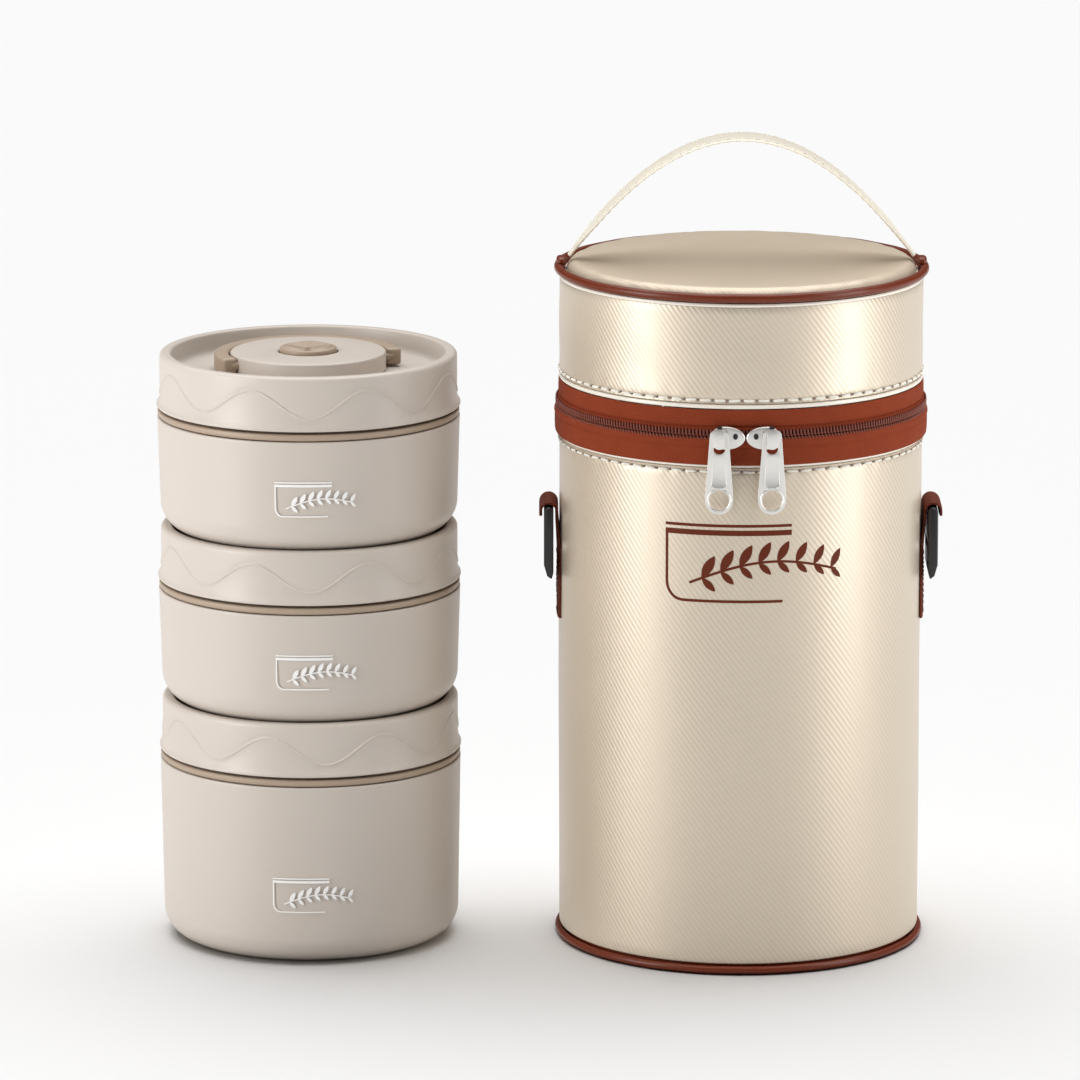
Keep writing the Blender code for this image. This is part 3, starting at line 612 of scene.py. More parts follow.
def ventButton(level):
    x, y, bottom, top, wide = measured(f"{level}_vent_button")
    outline = [(0, bottom), (2.6, bottom), (3, bottom + 0.4), (3, top - 5), (wide - 0.5, top - 5)]
    outline += [(wide, top - 4.5)] + arc(wide - 1.1, top - 1.3, 1.1, 0, 80, 5)
    outline += [(r, top - 0.12) for r in np.linspace(wide - 1.4, 0, 44)]
    obj = turned(f"{level}VentButton", outline, 192)
    places = points(obj) / mm
    radius = ringed(places)[0]
    dish = -0.6 * (1 - (radius / wide) ** 2)
    # how far each place is from the nearest of three grooves that meet in the middle
    groove = np.full(len(places), 99.0)
    for spoke in (-90, 30, 150):
        a = math.radians(spoke + buttonTurn[level])
        ahead = places[:, 0] * math.cos(a) + places[:, 1] * math.sin(a)
        side = np.abs(-places[:, 0] * math.sin(a) + places[:, 1] * math.cos(a))
        groove = np.minimum(groove, np.where(ahead > -0.2, side, np.hypot(side, ahead)))
    inside = np.clip((wide - 1.6 - radius) / 1.2, 0, 1)
    cutIn = -1.25 * np.exp(-((groove / 0.75) ** 2)) * inside
    facet = 0.9 * np.clip(groove / 7, 0, 1) * inside
    places[:, 2] += np.where(places[:, 2] > top - 0.4, dish + cutIn + facet, 0)
    put(obj, places * mm)
    shifted(obj, x, y)
    ready(obj, "taupe", f"{level}_button", (f"{level}_vent_button",), angle=60)

    bottom, top, wide = measured(f"{level}_vent_seal")[2:]
    outline = [(0, bottom)] + arc(wide - 0.5, bottom + 0.5, 0.5, -90, 0, 4)
    outline += arc(wide - 0.4, top - 0.4, 0.4, 0, 90, 4) + [(0, top)]
    boxPart(level, "vent_seal", outline, 64, "silicone", "button")


def lidHandle(level):
    x, y, bottom = measured(f"{level}_lid_cover")[:3]
    inner, outer, down, up = bail["inner"], bail["outer"], bail["low"], bail["high"]
    outline = [(inner, down), (outer, down), (outer, up), (inner, up), (inner, down)]
    bow = turned(f"{level}LidHandle", outline, 48, first=-bail["half"], sweep=2 * bail["half"])
    parts = [bevelled(capped(bow), 1.3, 5, 50)]
    for side in (-1, 1):
        cylinder = bpy.ops.mesh.primitive_cylinder_add
        pin = begun("pin", cylinder, vertices=40, radius=1.6 * mm, depth=5.4 * mm)
        pin.data.transform(about("Y", math.pi / 2))
        shifted(pin, inner + 0.2, 0, (down + up) / 2)
        parts.append(shifted(pin, turn=side * bail["pivot"]))
    obj = joined(f"{level}LidHandle", parts)
    shifted(obj, turn=bail["middle"] + bailTurn[level])
    shifted(obj, x, y, bottom)
    ready(obj, "taupe", f"{level}_handle", (f"{level}_lid_handle",), angle=40)


# the way along a flat line of points: where it is and where it heads at each share v of its length
def followed(line):
    line = np.array(line)
    length = np.concatenate([[0], np.cumsum(np.hypot(*np.diff(line, axis=0).T))])
    ahead = np.gradient(line, length, axis=0)
    ahead /= np.linalg.norm(ahead, axis=1, keepdims=True)

    def at(v):
        spot = [np.interp(v * length[-1], length, line[:, k]) for k in (0, 1)]
        way = [np.interp(v * length[-1], length, ahead[:, k]) for k in (0, 1)]
        return *spot, *way

    return at


# the motif: a double rule, an open bowl below it and a sprig of leaves, in units of its own width
def motifStrokes():
    strokes = [([(0.0, 0.44), (0.71, 0.44)], 0.016), ([(0.0, 0.40), (0.71, 0.40)], 0.030)]
    bends = np.linspace(0, math.pi / 2, 9)
    bowl = [(0.008, 0.385)] + [(0.10 - 0.092 * math.cos(a), 0.12 - 0.105 * math.sin(a)) for a in bends]
    bowl += [(0.66, 0.015)]
    strokes.append((bowl, 0.015))
    stem = [(0.14 + 0.84 * t, 0.115 + 0.10 * math.sin(t * 3.0) + 0.045 * t) for t in np.linspace(0, 1, 25)]
    strokes.append((stem, 0.014))
    return strokes, stem


def motif(name, radius, size, corner, base):
    strokes, stem = motifStrokes()

    def wrapped(flat, height):
        turn = (flat * size + corner) / radius
        return np.stack([radius * np.sin(turn), -radius * np.cos(turn), base + height * size], axis=1)

    parts = []
    for line, width in strokes:

        def along(u, v, way=followed(line), width=width):
            x, z, dx, dz = way(v)
            side = (u - 0.5) * width
            return wrapped(x - dz * side, z + dx * side)

        parts.append(laid("stroke", 2, 48, along, 0.16))
    for index, (x, z) in enumerate(stem[2:24:3]):
        for side in (1, -1):
            lean = math.radians(52 * side + 8)
            long = (0.145 if side > 0 else 0.105) * (1 - 0.025 * index)

            def leaf(u, v, x=x, z=z, lean=lean, long=long):
                wide = (u - 0.5) * 0.38 * long * np.sin(math.pi * np.clip(v, 0.001, 0.999)) ** 0.8
                out, c, s = v * long, math.cos(lean), math.sin(lean)
                return wrapped(x + out * c - wide * s, z + out * s + wide * c)

            parts.append(laid("leaf", 6, 14, leaf, 0.16))
    return joined(name, parts)


def boxPrint(level):
    x, y, foot = boxPlace(level)[:3]
    corner, up = printSpot[level]
    mark = motif(f"{level}Print", 66.0, 35.0, corner, foot + up)
    shifted(mark, x, y)
    ready(mark, "whitePrint", f"{level}_base", angle=50)


for level in levels:
    baseShell(level)
    collar(level)
    liner(level)
    lidCover(level)
    hub(level)
    plate(level)
    gasket(level)
    ventButton(level)
    lidHandle(level)
    boxPrint(level)
print("food boxes made")

# --- bag
bag = {"radius": 79.25, "inner": 75.2, "sides": 316, "stitches": 79, "foldWidth": 1.9, "stitchAt": 3.7}
# where the rings of the walls stand beside a seam
seamRings = (2.5, 2.9, 3.3, 3.7, 4.1, 4.6, 5.2, 6.2, 7.4, 9, 11, 14)


# slow swells of a soft wall, and the pucker of its seam; places in mm
def softened(obj, low, high, seam, swell=0.32):
    places = points(obj) / mm
    radius, angle = ringed(places)
    share = np.clip((places[:, 2] - low) / (high - low), 0, 1)
    dome = np.sin(math.pi * share)
    move = swell * dome * (np.sin(2 * angle + 0.7) * 0.7 + np.sin(3 * angle - 1.1) * 0.5)
    move += 0.12 * np.sin(5 * angle + 9 * share) * dome
    away = places[:, 2] - seam
    near = np.exp(-((away / 1.1) ** 2))
    move -= near * (0.32 + 0.16 * np.cos(bag["stitches"] * angle))
    shoulder = np.exp(-((away / 5.5) ** 2)) - near
    move += shoulder * 0.12 * np.sin(13 * angle + seam) * np.cos(bag["stitches"] * angle / 2)
    spread(places, np.where(radius > bag["inner"] + 2, move, 0))
    put(obj, places * mm)


def bagWall():
    low, high = measured("bag_wall")[2:4]
    radius, inner, seam = bag["radius"], bag["inner"], high - bag["stitchAt"]
    edge = high - bag["foldWidth"]
    outline = [(inner, low), (radius - 0.9, low), (radius - 0.2, low + 0.5), (radius, low + 1.2)]
    outline += [(radius, h) for h in np.linspace(low + 5, high - 18, 24)]
    outline += [(radius, high - h) for h in reversed(seamRings)]
    outline += [(radius - 0.35, edge - 0.25), (inner, edge - 0.25), (inner, low)]
    obj = turned("bagWall", outline, bag["sides"])
    softened(obj, low, high, seam)
    ready(obj, "cream", "bag_body", ("bag_wall",))
    foldedEdge("bagWallEdge", edge, high, "bag_body")
    stitchRow("bagWallStitches", seam, "bag_body")


# a turned fold at a wall's edge, in the lighter edge cream that paints the fold's highlight
def foldedEdge(name, low, high, body, proud=0.35):
    radius, inner = bag["radius"] + proud, bag["inner"]
    outline = [(inner, low), (radius - 0.9, low), (radius - 0.25, low + 0.15), (radius, low + 0.6)]
    outline += [(radius + 0.05, (low + high) / 2), (radius, high - 0.6), (radius - 0.3, high - 0.12)]
    outline += [(radius - 1, high), (inner, high), (inner, low)]
    ready(turned(name, outline, 192), "edge", body)


def stitchRow(name, height, body):
    count = bag["stitches"]
    spots = []
    for index in range(count):
        turn = about("Z", tau * (index + 0.5) / count)
        lean = about("X", math.pi / 2 + 0.06 * math.sin(index * 2.3))
        spots.append(turn @ moved(bag["radius"] + 0.15, 0, height) @ lean)
    obj = copied(name, capsule(4.7, 0.62), spots)
    ready(obj, "thread", body, angle=80)
    # small dark capsules between the stitches paint the shade inside the needle holes
    between = about("Z", tau / 2 / count)
    holes = copied(f"{name}Holes", capsule(1.1, 0.5, 8, 4), [between @ spot for spot in spots])
    ready(holes, "hole", body, angle=80)


def lidWall():
    low, high = measured("lid_wall")[2:4]
    radius, inner, seam = bag["radius"], bag["inner"], low + bag["stitchAt"]
    edge, topEdge = low + bag["foldWidth"], high - 1.6
    outline = [(inner, edge + 0.25), (radius - 0.35, edge + 0.25)]
    outline += [(radius, low + h) for h in seamRings]
    outline += [(radius, h) for h in np.linspace(low + 18, high - 5, 6)]
    outline += [(radius, high - 2.2), (radius - 0.25, topEdge), (inner, topEdge), (inner, edge + 0.25)]
    obj = turned("lidWall", outline, bag["sides"])
    softened(obj, low, high, seam, 0.2)
    ready(obj, "cream", "bag_lid", ("lid_wall",))
    foldedEdge("lidWallEdge", low, edge, "bag_lid")
    foldedEdge("lidWallTopEdge", topEdge, high, "bag_lid", 0.15)
    stitchRow("lidWallStitches", seam, "bag_lid")


def piping(name, node, body):
    bottom, top, wide = measured(node)[2:]
    size, height = (top - bottom) / 2, (top + bottom) / 2
    major = wide - size
    obj = turned(name, arc(major, height, size, 0, 360, 20), 216)
    places = points(obj)
    angle = ringed(places)[1]
    places[:, 2] += 0.12 * mm * np.sin(7 * angle + 0.5) * np.sin(11 * angle)
    put(obj, places)
    ready(obj, "piping", body, (node,), angle=80)
    # the piping's sewn-in welt, dark between it and the wall
    inner, outer, upper = major - 3, major - 0.4, height - size * 0.4
    outline = [(inner, bottom - 0.15), (outer, bottom - 0.1), (outer, upper), (inner, upper)]
    outline += outline[:1]
    ready(turned(f"{name}Welt", outline, 144), "piping", body)


def topPanel():
    bottom, top, wide = measured("lid_top_panel")[2:]
    outline = [(0, bottom), (wide - 0.6, bottom), (wide, bottom + 0.5), (wide - 0.1, bottom + 1.4)]
    outline += arc(wide - 5.2, top - 6.2, 5.1, 12, 82, 8)
    outline += [(r, top - 1.1 * (r / (wide - 5)) ** 2) for r in np.linspace(wide - 6.5, 0, 22)]
    obj = turned("topPanel", outline, 216)
    places = points(obj) / mm
    radius, angle = ringed(places)
    shoulder = np.exp(-(((radius - wide + 2) / 3.0) ** 2)) * (places[:, 2] > bottom + 1)
    places[:, 2] += shoulder * 0.22 * np.sin(29 * angle) * np.sin(7 * angle + 1)
    sag = 0.35 * np.exp(-((radius / 38) ** 2)) * (1 + np.sin(places[:, 0] / 17))
    places[:, 2] -= np.where(places[:, 2] > bottom + 3, sag, 0)
    put(obj, places * mm)
    ready(obj, "creamFlat", "bag_lid", ("lid_top_panel",), angle=60)
    # the seam allowance that shows at the foot of the panel, painted lighter as a highlight along its fold
    inner = wide - 2
    outline = [(inner, bottom + 0.1), (wide + 0.35, bottom + 0.2), (wide + 0.55, bottom + 0.8)]
    outline += [(wide + 0.3, bottom + 1.5), (inner, bottom + 1.7), (inner, bottom + 0.1)]
    ready(turned("topPanelEdge", outline, 192), "edge", "bag_lid")


def basePanel():
    bottom, top, wide = measured("bag_base_panel")[2:]
    outline = [(0, bottom), (wide - 1, bottom), (wide - 0.2, bottom + 0.3), (wide, bottom + 1)]
    outline += [(wide, top - 0.4), (wide - 0.4, top), (0, top)]
    obj = turned("basePanel", outline, 144)
    ready(obj, "piping", "bag_body", ("bag_base_panel",))


# a quilted cup, closed at the bottom in the bag and at the top in the lid
def lining(name, node, body, closedBelow):
    bottom, top, wide = measured(node)[2:]
    inner = wide - 1.3
    closed, opened, up = (bottom, top, 1) if closedBelow else (top, bottom, -1)
    rows = np.linspace(bottom + 2, top - 2, 30)[::up]
    outline = [(0, closed), (wide, closed)] + [(wide, h) for h in rows]
    outline += arc(wide - 0.65, opened - up * 0.65, 0.65, 0, up * 180, 6) + [(inner, h) for h in rows[::-1]]
    outline += [(inner - 1.2, closed + up * 1.2)]
    outline += [(r, closed + up * 0.8) for r in np.linspace(inner - 3, 0, 10)]
    obj = turned(name, outline, 180)
    places = points(obj) / mm
    radius, angle = ringed(places)
    rise = places[:, 2] / 19
    quilt = -0.35 * np.abs(np.sin(6 * angle + rise) * np.sin(6 * angle - rise))
    spread(places, np.where((radius < inner + 0.2) & (radius > inner - 0.5), quilt, 0))
    put(obj, places * mm)
    ready(obj, "foil", body, (node,), angle=60)
    hem, tall = (top - 3.2 if closedBelow else bottom), 3.2
    outline = [(inner - 0.45, hem), (inner + 0.2, hem), (inner + 0.2, hem + tall), (inner - 0.45, hem + tall)]
    outline += [(inner - 0.6, hem + tall / 2), (inner - 0.45, hem)]
    ready(turned(f"{name}Binding", outline, 144), "tape", body)


bagWall()
lidWall()
piping("basePiping", "bag_base_piping", "bag_body")
piping("lidPiping", "lid_piping", "bag_lid")
topPanel()
basePanel()
lining("bagLining", "bag_lining", "bag_body", True)
lining("lidLining", "lid_lining", "bag_lid", False)
print("bag shell made")

zipper = {"first": 110.0, "sweep": 320.0, "height": 238.0, "teeth": 288, "radius": 79.7}
zipper |= {"coilRadius": 80.55, "gapRadius": 79.2, "hingeRadius": 79.85, "hingeSweep": 39.4}


def zipTape(name, node, body, up):
    low, high = measured(node)[2:4]
    near, far = (zipper["height"] + up * 1.9, high if up > 0 else low)
    start, sweep = zipper["first"] + 0.4, zipper["sweep"] - 0.8
    # share of the way from the coil to the outer edge, and how far it stands out
    shape = [(0, -0.9), (0.03, 0.1), (0.08, 0.3), (0.17, 0.28), (0.215, -0.6), (0.25, -0.6), (0.29, 0.02)]
    shape += [(0.4, 0.1), (0.62, 0.1), (0.82, 0.05), (0.95, 0.0), (1, -0.35)]
    stops, proud = (np.array(column) for column in zip(*shape))

    def rule(u, v):
        share = np.interp(u, np.linspace(0, 1, len(stops)), stops)
        out = np.interp(share, stops, proud)
        turn = start + v * sweep
        ripple = 0.06 * np.sin(np.radians(turn) * 23) * share
        return polar(turn, zipper["radius"] + out + ripple, near + (far - near) * share)

    obj = laid(name, len(stops) * 2 - 2, 420, rule)
    modify(obj, "SOLIDIFY", thickness=1.6 * mm, offset=-up)
    cleaned(obj)
    ready(obj, "tape", body, (node,), angle=60)


def coil(name, node, body, up):
    count, start, sweep = zipper["teeth"], zipper["first"] + 0.6, zipper["sweep"] - 1.2
    tooth = capsule(2.9, 0.56, 8, 6)
    hook = capsule(1.7, 0.42, 8, 6)
    hook.data.transform(moved(0.1, 0, -up * 1.15) @ about("X", 0.9))
    tooth = joined("tooth", [tooth, hook])
    stand = moved(zipper["coilRadius"], 0, zipper["height"] + up * 1.75) @ about("X", 0.12)
    half = 0.5 if up > 0 else 0
    turns = [math.radians(start + sweep * (index + half) / count) for index in range(count)]
    obj = copied(name, tooth, [about("Z", turn) @ stand for turn in turns])
    ready(obj, "coil", body, (node,), angle=80)


# a near-black sheet just inside the coils: painted shadow in the gap of the zip
def zipShadowSheet(name, body, up):
    def rule(u, v):
        height = zipper["height"] + up * (0.05 + 2.2 * u)
        return polar(zipper["first"] + 0.6 + v * (zipper["sweep"] - 1.2), zipper["gapRadius"], height)

    obj = laid(name, 1, 320, rule)
    modify(obj, "SOLIDIFY", thickness=0.5 * mm, offset=-up)
    ready(obj, "zipShadowSheet", body)


def hingeStrip():
    bottom, top = measured("hinge_strip_lower")[2], measured("hinge_strip_upper")[3]

    def rule(u, v):
        turn = 90 + (u - 0.5) * zipper["hingeSweep"]
        creases = 0.16 * np.sin(v * 34) * np.sin(np.pi * v) + 0.1 * np.sin(u * 21 + v * 3)
        return polar(turn, zipper["hingeRadius"] + creases, bottom + (top - bottom) * v)

    obj = laid("hingeStrip", 48, 48, rule)
    modify(obj, "SOLIDIFY", thickness=1.7 * mm, offset=1)
    cleaned(bevelled(obj, 0.4, 2, 50))
    ready(obj, "cream", None, ("hinge_strip_lower", "hinge_strip_upper"))
    start, end = (0, 0.0795, bottom * mm + 0.003), (0, 0.0795, top * mm - 0.003)
    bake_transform(obj)


zipTape("zipTapeLower", "zip_tape_lower", "bag_body", -1)
zipTape("zipTapeUpper", "zip_tape_upper", "bag_lid", 1)
coil("zipCoilLower", "zip_coil_lower", "bag_body", -1)
coil("zipCoilUpper", "zip_coil_upper", "bag_lid", 1)
zipShadowSheet("zipGapShadowLower", "bag_body", -1)
zipShadowSheet("zipGapShadowUpper", "bag_lid", 1)
hingeStrip()
print("zip made")


# a flat plate of this outline (x, z in mm), its back at y = 0 and its front at y = -depth
def flatPlate(name, outline, depth):
    obj = begun(name, bpy.ops.mesh.primitive_circle_add, vertices=len(outline), radius=1, fill_type="NGON")
    put(obj, np.array([(x * mm, 0, z * mm) for x, z in outline]))
    with editing(obj):
        bpy.ops.mesh.extrude_region_move(TRANSFORM_OT_translate={"value": (0, -depth * mm, 0)})
    return obj


def rod(radius, depth, x, z, y=0.0, sides=40, stretch=1.0):
    cylinder = bpy.ops.mesh.primitive_cylinder_add
    obj = begun("rod", cylinder, vertices=sides, radius=radius * mm, depth=depth * mm)
    obj.data.transform(moved(x, y, z) @ Matrix.Diagonal((1, 1, stretch, 1)) @ about("X", math.pi / 2))
    return obj


def block(x, y, z, wide, deep, tall):
    obj = begun("block", bpy.ops.mesh.primitive_cube_add, size=1)
    obj.data.transform(moved(x, y, z) @ Matrix.Diagonal((wide * mm, deep * mm, tall * mm, 1)))
    return obj


slider = {"long": 15.0, "tall": 11.5, "thick": 2.2, "spacing": 15.4, "bridge": 3.5, "radius": 84.1}
pull = {"drop": 26.8, "top": 8.0, "end": 12.0, "hole": 4.3, "thick": 1.3}


# round shoulders, and a nose towards the middle of the bag
def sliderOutline(side):
    half, tall = slider["long"] / 2, slider["tall"] / 2
    outline = []
    for a in np.linspace(0, tau, 56, endpoint=False):
        c, s = math.cos(a), math.sin(a)
        taper = 0.5 - 0.5 * c
        outline.append((half * np.sign(c) * abs(c) ** 0.88 * -side, tall * s * (0.74 + 0.26 * taper)))
    return outline[::-1] if side > 0 else outline


def zipSlider(name, side):
    front, middle = -slider["thick"], slider["bridge"] * side
    body = flatPlate(f"slider{name.title()}", sliderOutline(side), slider["thick"])
    bevelled(body, 0.8, 4, 40)
    outline = [(middle - 2.3, -3.6), (middle + 2.3, -3.6), (middle + 2.6, 0)]
    outline += [(middle + 2.3, 3.6), (middle - 2.3, 3.6), (middle - 2.6, 0)]
    bridge = flatPlate("bridge", outline, 3.5)
    shifted(bridge, 0, front + 0.4)
    cut(bridge, block(middle, front - 0.9, 0, 9, 2.3, 4.3))
    bevelled(bridge, 0.6, 3, 40)
    obj = joined(body.name, [body, bridge])
    # a black dot and a black slot laid on the slider's face paint the shade of its openings
    dot = rod(1.05, 0.5, -3.3 * side, 0.9, front - 0.03, 24, 1.25)
    marks = joined(f"{obj.name}Slots", [dot, rod(1.2, 0.5, middle, 4.55, front - 0.03, 24, 0.55)])
    node = (f"zip_slider_{name}",)
    for piece, look, replaced in ((obj, "metal", node), (marks, "black", ())):
        places = points(piece) / mm
        # bent round the bag
        turn = (side * slider["spacing"] / 2 + places[:, 0]) / slider["radius"]
        radius = slider["radius"] - slider["thick"] - places[:, 1]
        x, y, z = radius * np.sin(turn), -radius * np.cos(turn), zipper["height"] + places[:, 2]
        put(piece, np.stack([x, y, z], axis=1) * mm)
        ready(piece, look, f"slider_{name}", replaced, angle=45)


def pullOutline():
    drop, end, top = pull["drop"], pull["end"] / 2, pull["top"] / 2
    outline = [(top * math.cos(a), 1.7 + (top - 1.6) * math.sin(a)) for a in np.linspace(0, math.pi, 13)]
    outline += [(-top - (end - top) * t, 1.7 - (drop - 0.5) * t) for t in np.linspace(0.1, 1, 8)]
    outline += [(end * math.cos(a), -drop + end * math.sin(a)) for a in np.linspace(math.pi, tau, 25)[1:-1]]
    outline += [(end - (end - top) * (1 - t), 1.7 - (drop - 0.5) * t) for t in np.linspace(1, 0.1, 8)]
    return outline


def jointSpot(name):
    joint = next(j for j in frame["joints"] if j["name"] == name)
    return [part / mm for part in joint["pos_m"]]


def zipPull(name, side):
    drop, hole, thick = pull["drop"], pull["hole"], pull["thick"]
    obj = flatPlate(f"pull{name.title()}", pullOutline(), thick)
    cut(obj, rod(hole, 6, 0, -drop, 0, 56))
    cut(obj, block(0, 0, -0.1, 4.6, 6, 3.0))
    # a crescent under the bar, and a shallow panel down the middle
    crescent = rod(2.5, 6, 0, -4.6, 0, 40, 0.8)
    cut(crescent, rod(2.4, 8, 0, -2.7, 0, 40, 0.8))
    cut(obj, crescent)
    outline = [(-2.7, -9), (2.7, -9), (3.2, -20.2), (1.6, -21.2), (0, -21.6), (-1.6, -21.2), (-3.2, -20.2)]
    panel = flatPlate("panel", outline, 1.0)
    shifted(panel, 0, -thick + 0.3)
    cut(obj, panel)
    bevelled(obj, 0.22, 3, 35)
    torus, wide = bpy.ops.mesh.primitive_torus_add, (hole + 0.55) * mm
    rim = begun("rim", torus, major_segments=64, minor_segments=12, major_radius=wide, minor_radius=0.5 * mm)
    rim.data.transform(about("X", math.pi / 2))
    shifted(rim, 0, -thick + 0.1, -drop)
    obj = joined(obj.name, [obj, rim])
    shifted(obj, 0, thick / 2, 0)
    shifted(obj, turn=math.degrees(side * slider["spacing"] / 2 / slider["radius"]))
    shifted(obj, *jointSpot(f"pull_{name}_swing"))
    ready(obj, "metal", f"pull_{name}", (f"zip_pull_{name}",), angle=40)


for name, side in (("left", -1), ("right", 1)):
    zipSlider(name, side)
    zipPull(name, side)
print("sliders made")

strap = {"span": 75.0, "rise": 52.0, "width": 22.0, "end": 5.6, "taper": 18.0}
strap["foot"] = measured("carry_handle")[2]


def strapPath(v):
    across = np.sin((v - 0.5) * math.pi)
    return strap["span"] * across, strap["foot"] + strap["rise"] * (1 - across ** 2)


def strapHalf(z):
    share = eased((z - strap["foot"]) / strap["taper"])
    return (strap["end"] + (strap["width"] - strap["end"]) * share) / 2


def strapNormal(v):
    x0, z0 = strapPath(np.clip(v - 0.003, 0, 1))
    x1, z1 = strapPath(np.clip(v + 0.003, 0, 1))
    dx, dz = x1 - x0, z1 - z0
    size = np.hypot(dx, dz)
    return -dz / size, dx / size


def strapSkin(side):
    def rule(u, v):
        x, z = strapPath(v)
        nx, nz = strapNormal(v)
        y = u * 2 - 1
        # rounded edges, a stitched channel near each, and a soft crown between them
        body = np.sqrt(np.clip(1 - np.abs(y) ** 8, 0, 1)) * 0.62
        body += 0.28 * (1 - y ** 2)
        body -= 0.22 * np.exp(-(((np.abs(y) - 0.8) / 0.07) ** 2))
        return np.stack([x + nx * side * body, y * strapHalf(z), z + nz * side * body], axis=1)

    return laid("strapSkin", 40, 160, rule)


def carryHandle():
    obj = joined("carryHandle", [strapSkin(1), strapSkin(-1)])
    capped(cleaned(obj, 0.01))
    ready(obj, "strap", "carry_handle", ("carry_handle",), angle=50)

    spots = []
    for side in (-1, 1):
        for v in np.linspace(0.09, 0.91, 46):
            x, z = strapPath(v)
            nx, nz = strapNormal(v)
            for lift in (-0.62, 0.62):
                place = moved(x + nx * lift, side * strapHalf(z) * 0.8, z + nz * lift)
                spots.append(place @ about("Y", math.atan2(nx, nz) + math.pi / 2))
    stitches = copied("handleStitches", capsule(2.3, 0.26, 6, 4), spots)
    ready(stitches, "thread", "carry_handle", angle=80)


# the brown patches that the strap's ends are sewn down with
def strapPatches():
    height = measured("lid_piping")[3] + 0.9
    parts = []
    for side in (-1, 1):
        patch = begun("patch", bpy.ops.mesh.primitive_uv_sphere_add, segments=40, ring_count=24, radius=1)
        places = points(patch)
        swell = np.sign(places) * np.abs(places) ** 0.7
        put(patch, (swell * np.array([2.2, 5.2, 1.9]) + np.array([side * 78.5, 0, height])) * mm)
        parts.append(patch)
    obj = joined("strapPatches", parts)
    ready(obj, "piping", "bag_lid", angle=80)


carryHandle()
strapPatches()

tab = {"radius": 3.5, "thick": 1.4, "half": 12.5, "seam": 29.0, "box": 10.0, "boxLow": 2.0, "boxHigh": 28.0}


# the sewn part of a tab lies on the round wall, and the rest stands off it for the buckle
def sideTab(name, side):
    x, _, z = jointSpot(f"buckle_{name}_swing")
    loopX, loopZ = abs(x), z
    foot, radius, thick = measured(f"side_tab_{name}")[2], tab["radius"], tab["thick"]
    wall = bag["radius"] + thick / 2 - 0.1
    seamTop, neck = foot + tab["seam"], loopZ - 2

    def stands(z):
        return eased((z - seamTop) / (neck - seamTop))

    def lies(y, z):
        return (1 - stands(z)) * (wall - np.sqrt(wall * wall - y * y))

    path = [(wall + (loopX - radius - wall) * stands(z), z) for z in np.linspace(foot, neck, 24)]
    path += arc(loopX, loopZ, radius, 180, 0, 16)
    path += [(loopX + radius, neck)]
    way = followed(path)

    def rule(u, v):
        x, z, dx, dz = way(v)
        c, s = np.cos(u * tau), np.sin(u * tau)
        wide = tab["half"] * np.sign(c) * np.abs(c) ** 0.25
        deep = thick / 2 * np.sign(s) * np.abs(s) ** 0.5 / np.hypot(dx, dz)
        return np.stack([side * (x - lies(wide, z) - deep * dz), wide, z + deep * dx], axis=1)

    obj = capped(laid(f"sideTab{name.title()}", 48, 110, rule))
    ready(obj, "webbing", "bag_body", (f"side_tab_{name}",), angle=50)

    # a sewn box with a cross in it holds the tab to the bag
    spots = []

    def sewn(y, z, lean):
        spots.append(moved(side * (wall + thick / 2 - lies(y, z)), y, z) @ about("X", lean))

    half, low, high = tab["box"], foot + tab["boxLow"], foot + tab["boxHigh"]
    for z in np.linspace(low + 1, high - 1, 11):
        for y in (-half, half):
            sewn(y, z, 0)
    for y in np.linspace(2 - half, half - 2, 7):
        for z in (low, high):
            sewn(y, z, math.pi / 2)
    for t in np.linspace(0.08, 0.92, 11):
        for lean in (-1, 1):
            sewn(lean * (t * 2 - 1) * half, low + (high - low) * t, -lean * 0.66)
    stitches = copied(f"tabStitches{name.title()}", capsule(1.9, 0.28, 6, 4), spots)
    ready(stitches, "brownThread", "bag_body", angle=80)


def sideBuckle(name, side):
    half, width, long = 2.1, 16.0, 29.8
    outline = [(half * math.cos(a), half * math.sin(a)) for a in np.linspace(0, math.pi, 9)]
    outline += [(-half, -12), (-half, 3 - long), (0.8 - half, -long), (half - 1.4, 1.5 - long)]
    outline += [(half, 6.5 - long), (half, -12)]
    obj = flatPlate(f"buckle{name.title()}", outline, 2 * width)
    shifted(obj, 0, width)
    for slotMiddle in (4.0, 17.0):
        cut(obj, block(0, 0, -slotMiddle, 12, 26, 5))
    bevelled(obj, 0.7, 3, 40)
    places = points(obj)
    places[:, 0] *= side
    put(obj, places)
    cleaned(obj)
    x, _, z = jointSpot(f"buckle_{name}_swing")
    shifted(obj, side * abs(x), 0, z)
    ready(obj, "black", f"buckle_{name}", (f"side_buckle_{name}",), angle=45)


for name, side in (("left", -1), ("right", 1)):
    sideTab(name, side)
    sideBuckle(name, side)
bagMark = motif("bagPrint", bag["radius"] + 0.05, 78.0, -35.0, 164.5)
ready(bagMark, "print", "bag_body", angle=50)
print("trims made")


# --- studio
def studioSurface(name, colour):
    look = Look(name, colour, 0.9)
    look.shaded(look.noise(look.place(), 3, 2), 0.99, 1.0)
    return look.material


def floor():
    obj = begun("floor", bpy.ops.mesh.primitive_grid_add, x_subdivisions=4, y_subdivisions=4, size=24)
    obj.data.materials.append(studioSurface("studio paper", (0.92, 0.92, 0.92)))
    return obj


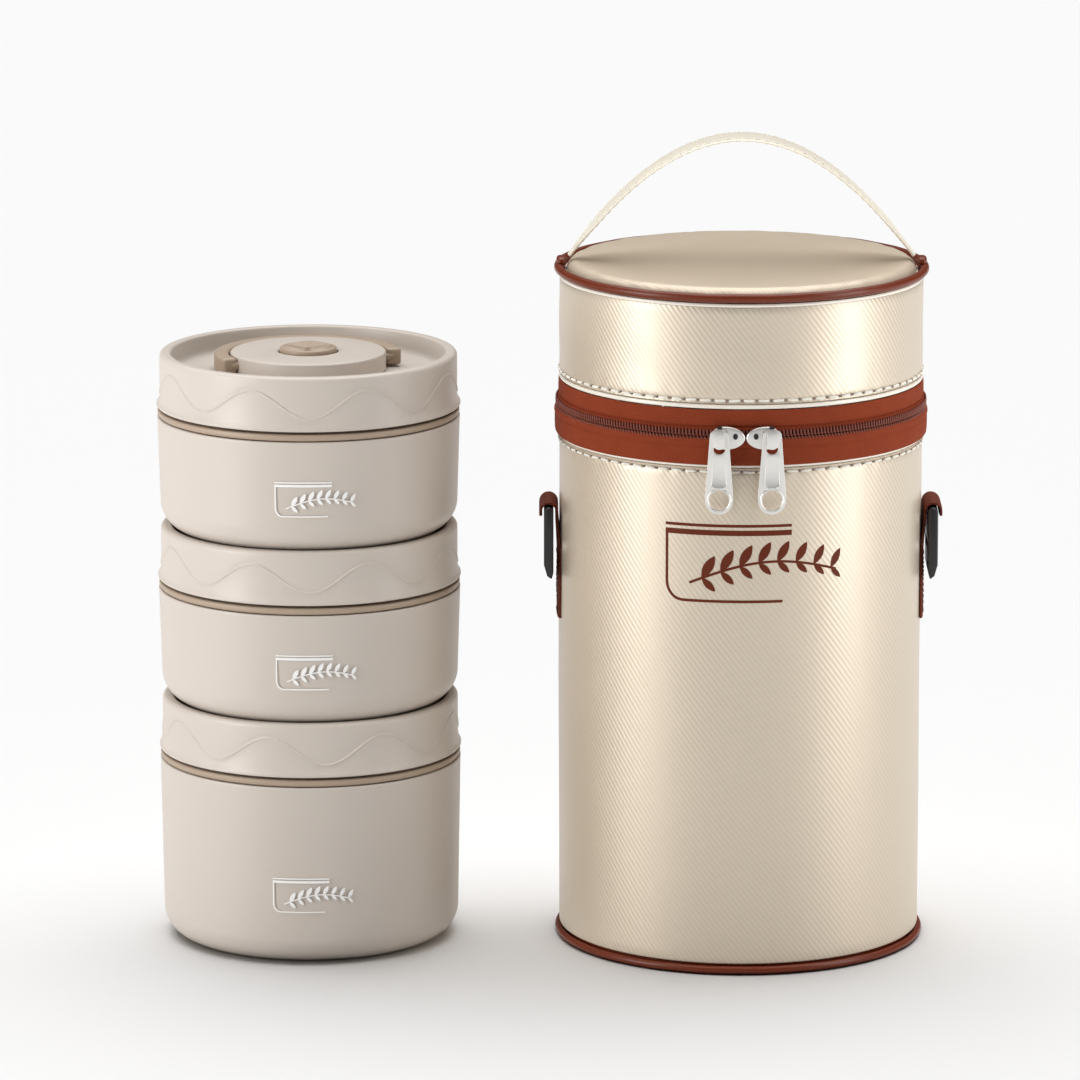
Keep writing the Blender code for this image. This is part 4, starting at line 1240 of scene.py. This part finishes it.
def softbox(name, azimuth, height, away, wide, tall, power, aimZ):
    data = bpy.data.lights.new(name, "AREA")
    data.shape = "RECTANGLE"
    data.size, data.size_y, data.energy = wide, tall, power
    lamp = bpy.data.objects.new(name, data)
    bpy.context.scene.collection.objects.link(lamp)
    a = math.radians(azimuth)
    spot = Vector((math.sin(a) * away, -math.cos(a) * away, height))
    lamp.location = spot
    lamp.visible_camera = False
    lamp.rotation_euler = (spot - Vector((0, 0, aimZ))).to_track_quat("Z", "Y").to_euler()
    lamp.light_linking.receiver_collection = paper


# the strips light the pieces only, so that the paper stays even
paper = bpy.data.collections.new("paper")
paper.objects.link(floor())
paper.collection_objects[0].light_linking.link_state = "EXCLUDE"
softbox("leftStrip", -63, 0.44, 1.08, 0.38, 0.84, 7.6, 0.29)
softbox("rightStrip", 66, 0.35, 0.61, 0.24, 0.66, 2.45, 0.25)
skyData = bpy.data.lights.new("overhead", "SUN")
skyData.energy, skyData.angle = 3.25, math.radians(70)
overhead = bpy.data.objects.new("overhead", skyData)
bpy.context.scene.collection.objects.link(overhead)
overhead.rotation_euler = (math.radians(-14), 0, 0)

# soft light all round, and plain white behind everything
world = bpy.data.worlds.new("studio air")
world.use_nodes = True
air = world.node_tree
light = air.nodes["Background"]
light.inputs["Color"].default_value = (1.0, 1.0, 1.0, 1.0)
light.inputs["Strength"].default_value = 0.06
behind = air.nodes.new("ShaderNodeBackground")
behind.inputs["Color"].default_value = (1.0, 1.0, 1.0, 1.0)
either = air.nodes.new("ShaderNodeMixShader")
ray = air.nodes.new("ShaderNodeLightPath")
air.links.new(ray.outputs["Is Camera Ray"], either.inputs[0])
air.links.new(light.outputs[0], either.inputs[1])
air.links.new(behind.outputs[0], either.inputs[2])
air.links.new(either.outputs[0], air.nodes["World Output"].inputs["Surface"])
bpy.context.scene.world = world
bpy.context.scene.view_settings.view_transform = "Standard"

view = {"elevation": 12.0, "away": 3.4, "across": 0.474, "aimX": -0.0878, "aimZ": 0.176}
cameraData = bpy.data.cameras.new("camera")
camera = bpy.data.objects.new("camera", cameraData)
bpy.context.scene.collection.objects.link(camera)
rise = math.radians(view["elevation"])
aim = Vector((view["aimX"], 0, view["aimZ"]))
camera.location = aim + Vector((0, -math.cos(rise), math.sin(rise))) * view["away"]
camera.rotation_euler = (camera.location - aim).to_track_quat("Z", "Y").to_euler()
cameraData.sensor_width = 36.0
cameraData.lens = 18.0 / (view["across"] / 2 / view["away"])
cameraData.clip_end = 30.0
bpy.context.scene.camera = camera
print("studio made")
